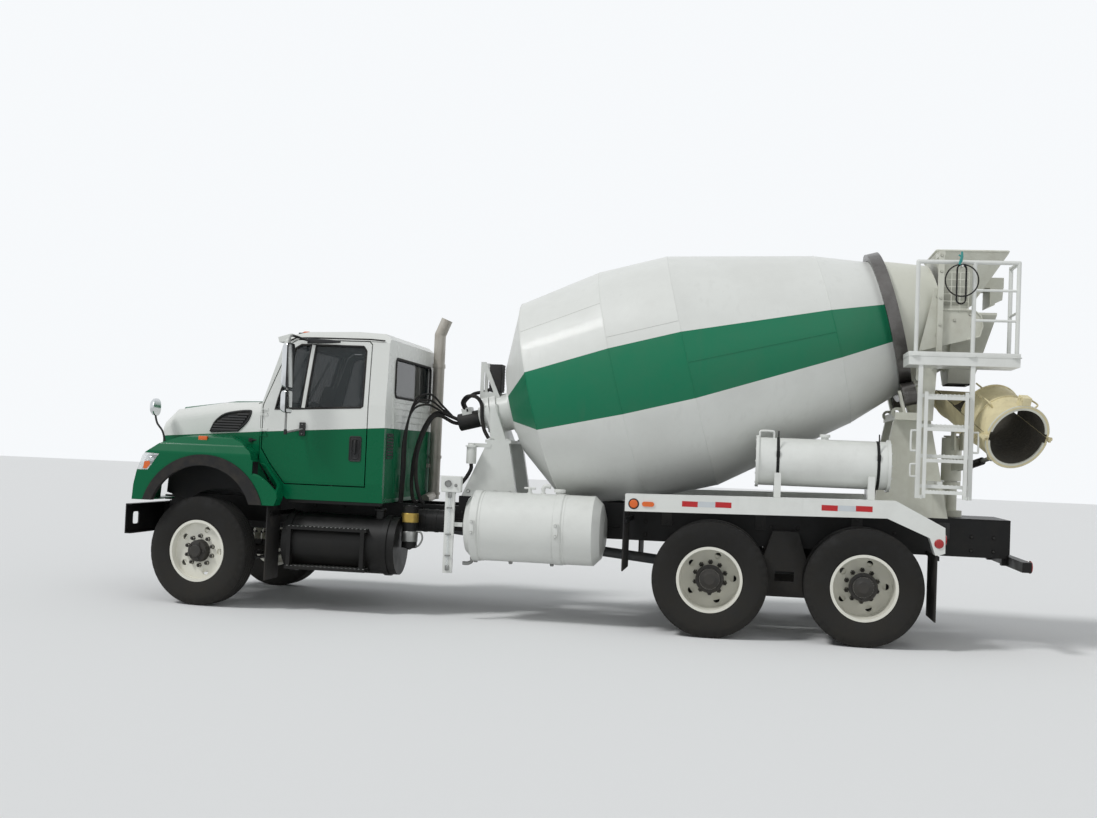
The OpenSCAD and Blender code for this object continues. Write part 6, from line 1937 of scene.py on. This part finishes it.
class MIXER_OT_tanks(bpy.types.Operator):
    """Adds straps, caps, gauges and treads of the tanks"""

    bl_idname = "mixer.tanks"
    bl_label = "Tanks"

    def execute(self, context):
        make_fuel_tank_trim()
        make_water_tank_trim()
        make_admixture_tank_trim()
        return {"FINISHED"}


class MIXER_OT_drive(bpy.types.Operator):
    """Adds ribs, bolts, hoses and the filter of the drum's drive"""

    bl_idname = "mixer.drive"
    bl_label = "Drive"

    def execute(self, context):
        make_gearbox_trim()
        make_pedestal_ribs()
        make_drive_motor()
        make_hydraulic_lines()
        make_oil_filter_head()
        return {"FINISHED"}


class MIXER_OT_drum_trim(bpy.types.Operator):
    """Adds seams, hatch, blades and the edges of track ring and rollers"""

    bl_idname = "mixer.drum_trim"
    bl_label = "Drum trim"

    def execute(self, context):
        make_weld_seams()
        make_hatch()
        make_drum_inside()
        make_track_edges()
        make_roller_trim()
        return {"FINISHED"}


class MIXER_OT_platform(bpy.types.Operator):
    """Adds grating, rails and rung grips"""

    bl_idname = "mixer.platform"
    bl_label = "Platform"

    def execute(self, context):
        make_platform_trim()
        return {"FINISHED"}


class MIXER_OT_hopper(bpy.types.Operator):
    """Adds rims, bolts and linings of the hopper and collector"""

    bl_idname = "mixer.hopper"
    bl_label = "Hopper"

    def execute(self, context):
        make_hopper_trim()
        return {"FINISHED"}


class MIXER_OT_chutes(bpy.types.Operator):
    """Adds rolled edges, handles, flanges and dried concrete of the chutes, the concrete darkened with
    painted shade
    """

    bl_idname = "mixer.chutes"
    bl_label = "Chutes"

    def execute(self, context):
        make_chute_trim()
        return {"FINISHED"}


class MIXER_PT_panel(bpy.types.Panel):
    """Mixer truck settings"""

    bl_label = "Mixer truck"
    bl_idname = "MIXER_PT_panel"
    bl_space_type = "VIEW_3D"
    bl_region_type = "UI"
    bl_category = "Mixer truck"

    def draw(self, context):
        for name in SETTINGS:
            box = self.layout.box()
            group = getattr(context.scene, name)
            for key in group.__annotations__:
                box.prop(group, key)
        for operator in OPERATORS:
            self.layout.operator(operator.bl_idname)


SETTINGS = {
    "mixer_paint": MixerPaint,
    "mixer_drum": MixerDrum,
    "mixer_tyres": MixerTyres,
    "mixer_stage": MixerStage,
}
OPERATORS = (
    MIXER_OT_stage,
    MIXER_OT_paint,
    MIXER_OT_hose,
    MIXER_OT_wheels,
    MIXER_OT_bonnet,
    MIXER_OT_mirrors,
    MIXER_OT_cab,
    MIXER_OT_chassis,
    MIXER_OT_tanks,
    MIXER_OT_drive,
    MIXER_OT_drum_trim,
    MIXER_OT_platform,
    MIXER_OT_hopper,
    MIXER_OT_chutes,
)
CLASSES = (*SETTINGS.values(), *OPERATORS, MIXER_PT_panel)


def register():
    for cls in CLASSES:
        bpy.utils.register_class(cls)
    for name, cls in SETTINGS.items():
        setattr(bpy.types.Scene, name, bpy.props.PointerProperty(type=cls))


def unregister():
    for name in SETTINGS:
        delattr(bpy.types.Scene, name)
    for cls in reversed(CLASSES):
        bpy.utils.unregister_class(cls)


def main():
    register()
    bpy.ops.mixer.stage()
    bpy.ops.mixer.paint()
    bpy.ops.mixer.hose()
    bpy.ops.mixer.wheels()
    bpy.ops.mixer.bonnet()
    bpy.ops.mixer.mirrors()
    bpy.ops.mixer.cab()
    bpy.ops.mixer.chassis()
    bpy.ops.mixer.tanks()
    bpy.ops.mixer.drive()
    bpy.ops.mixer.drum_trim()
    bpy.ops.mixer.platform()
    bpy.ops.mixer.hopper()
    bpy.ops.mixer.chutes()


if __name__ == "__main__":
    main()
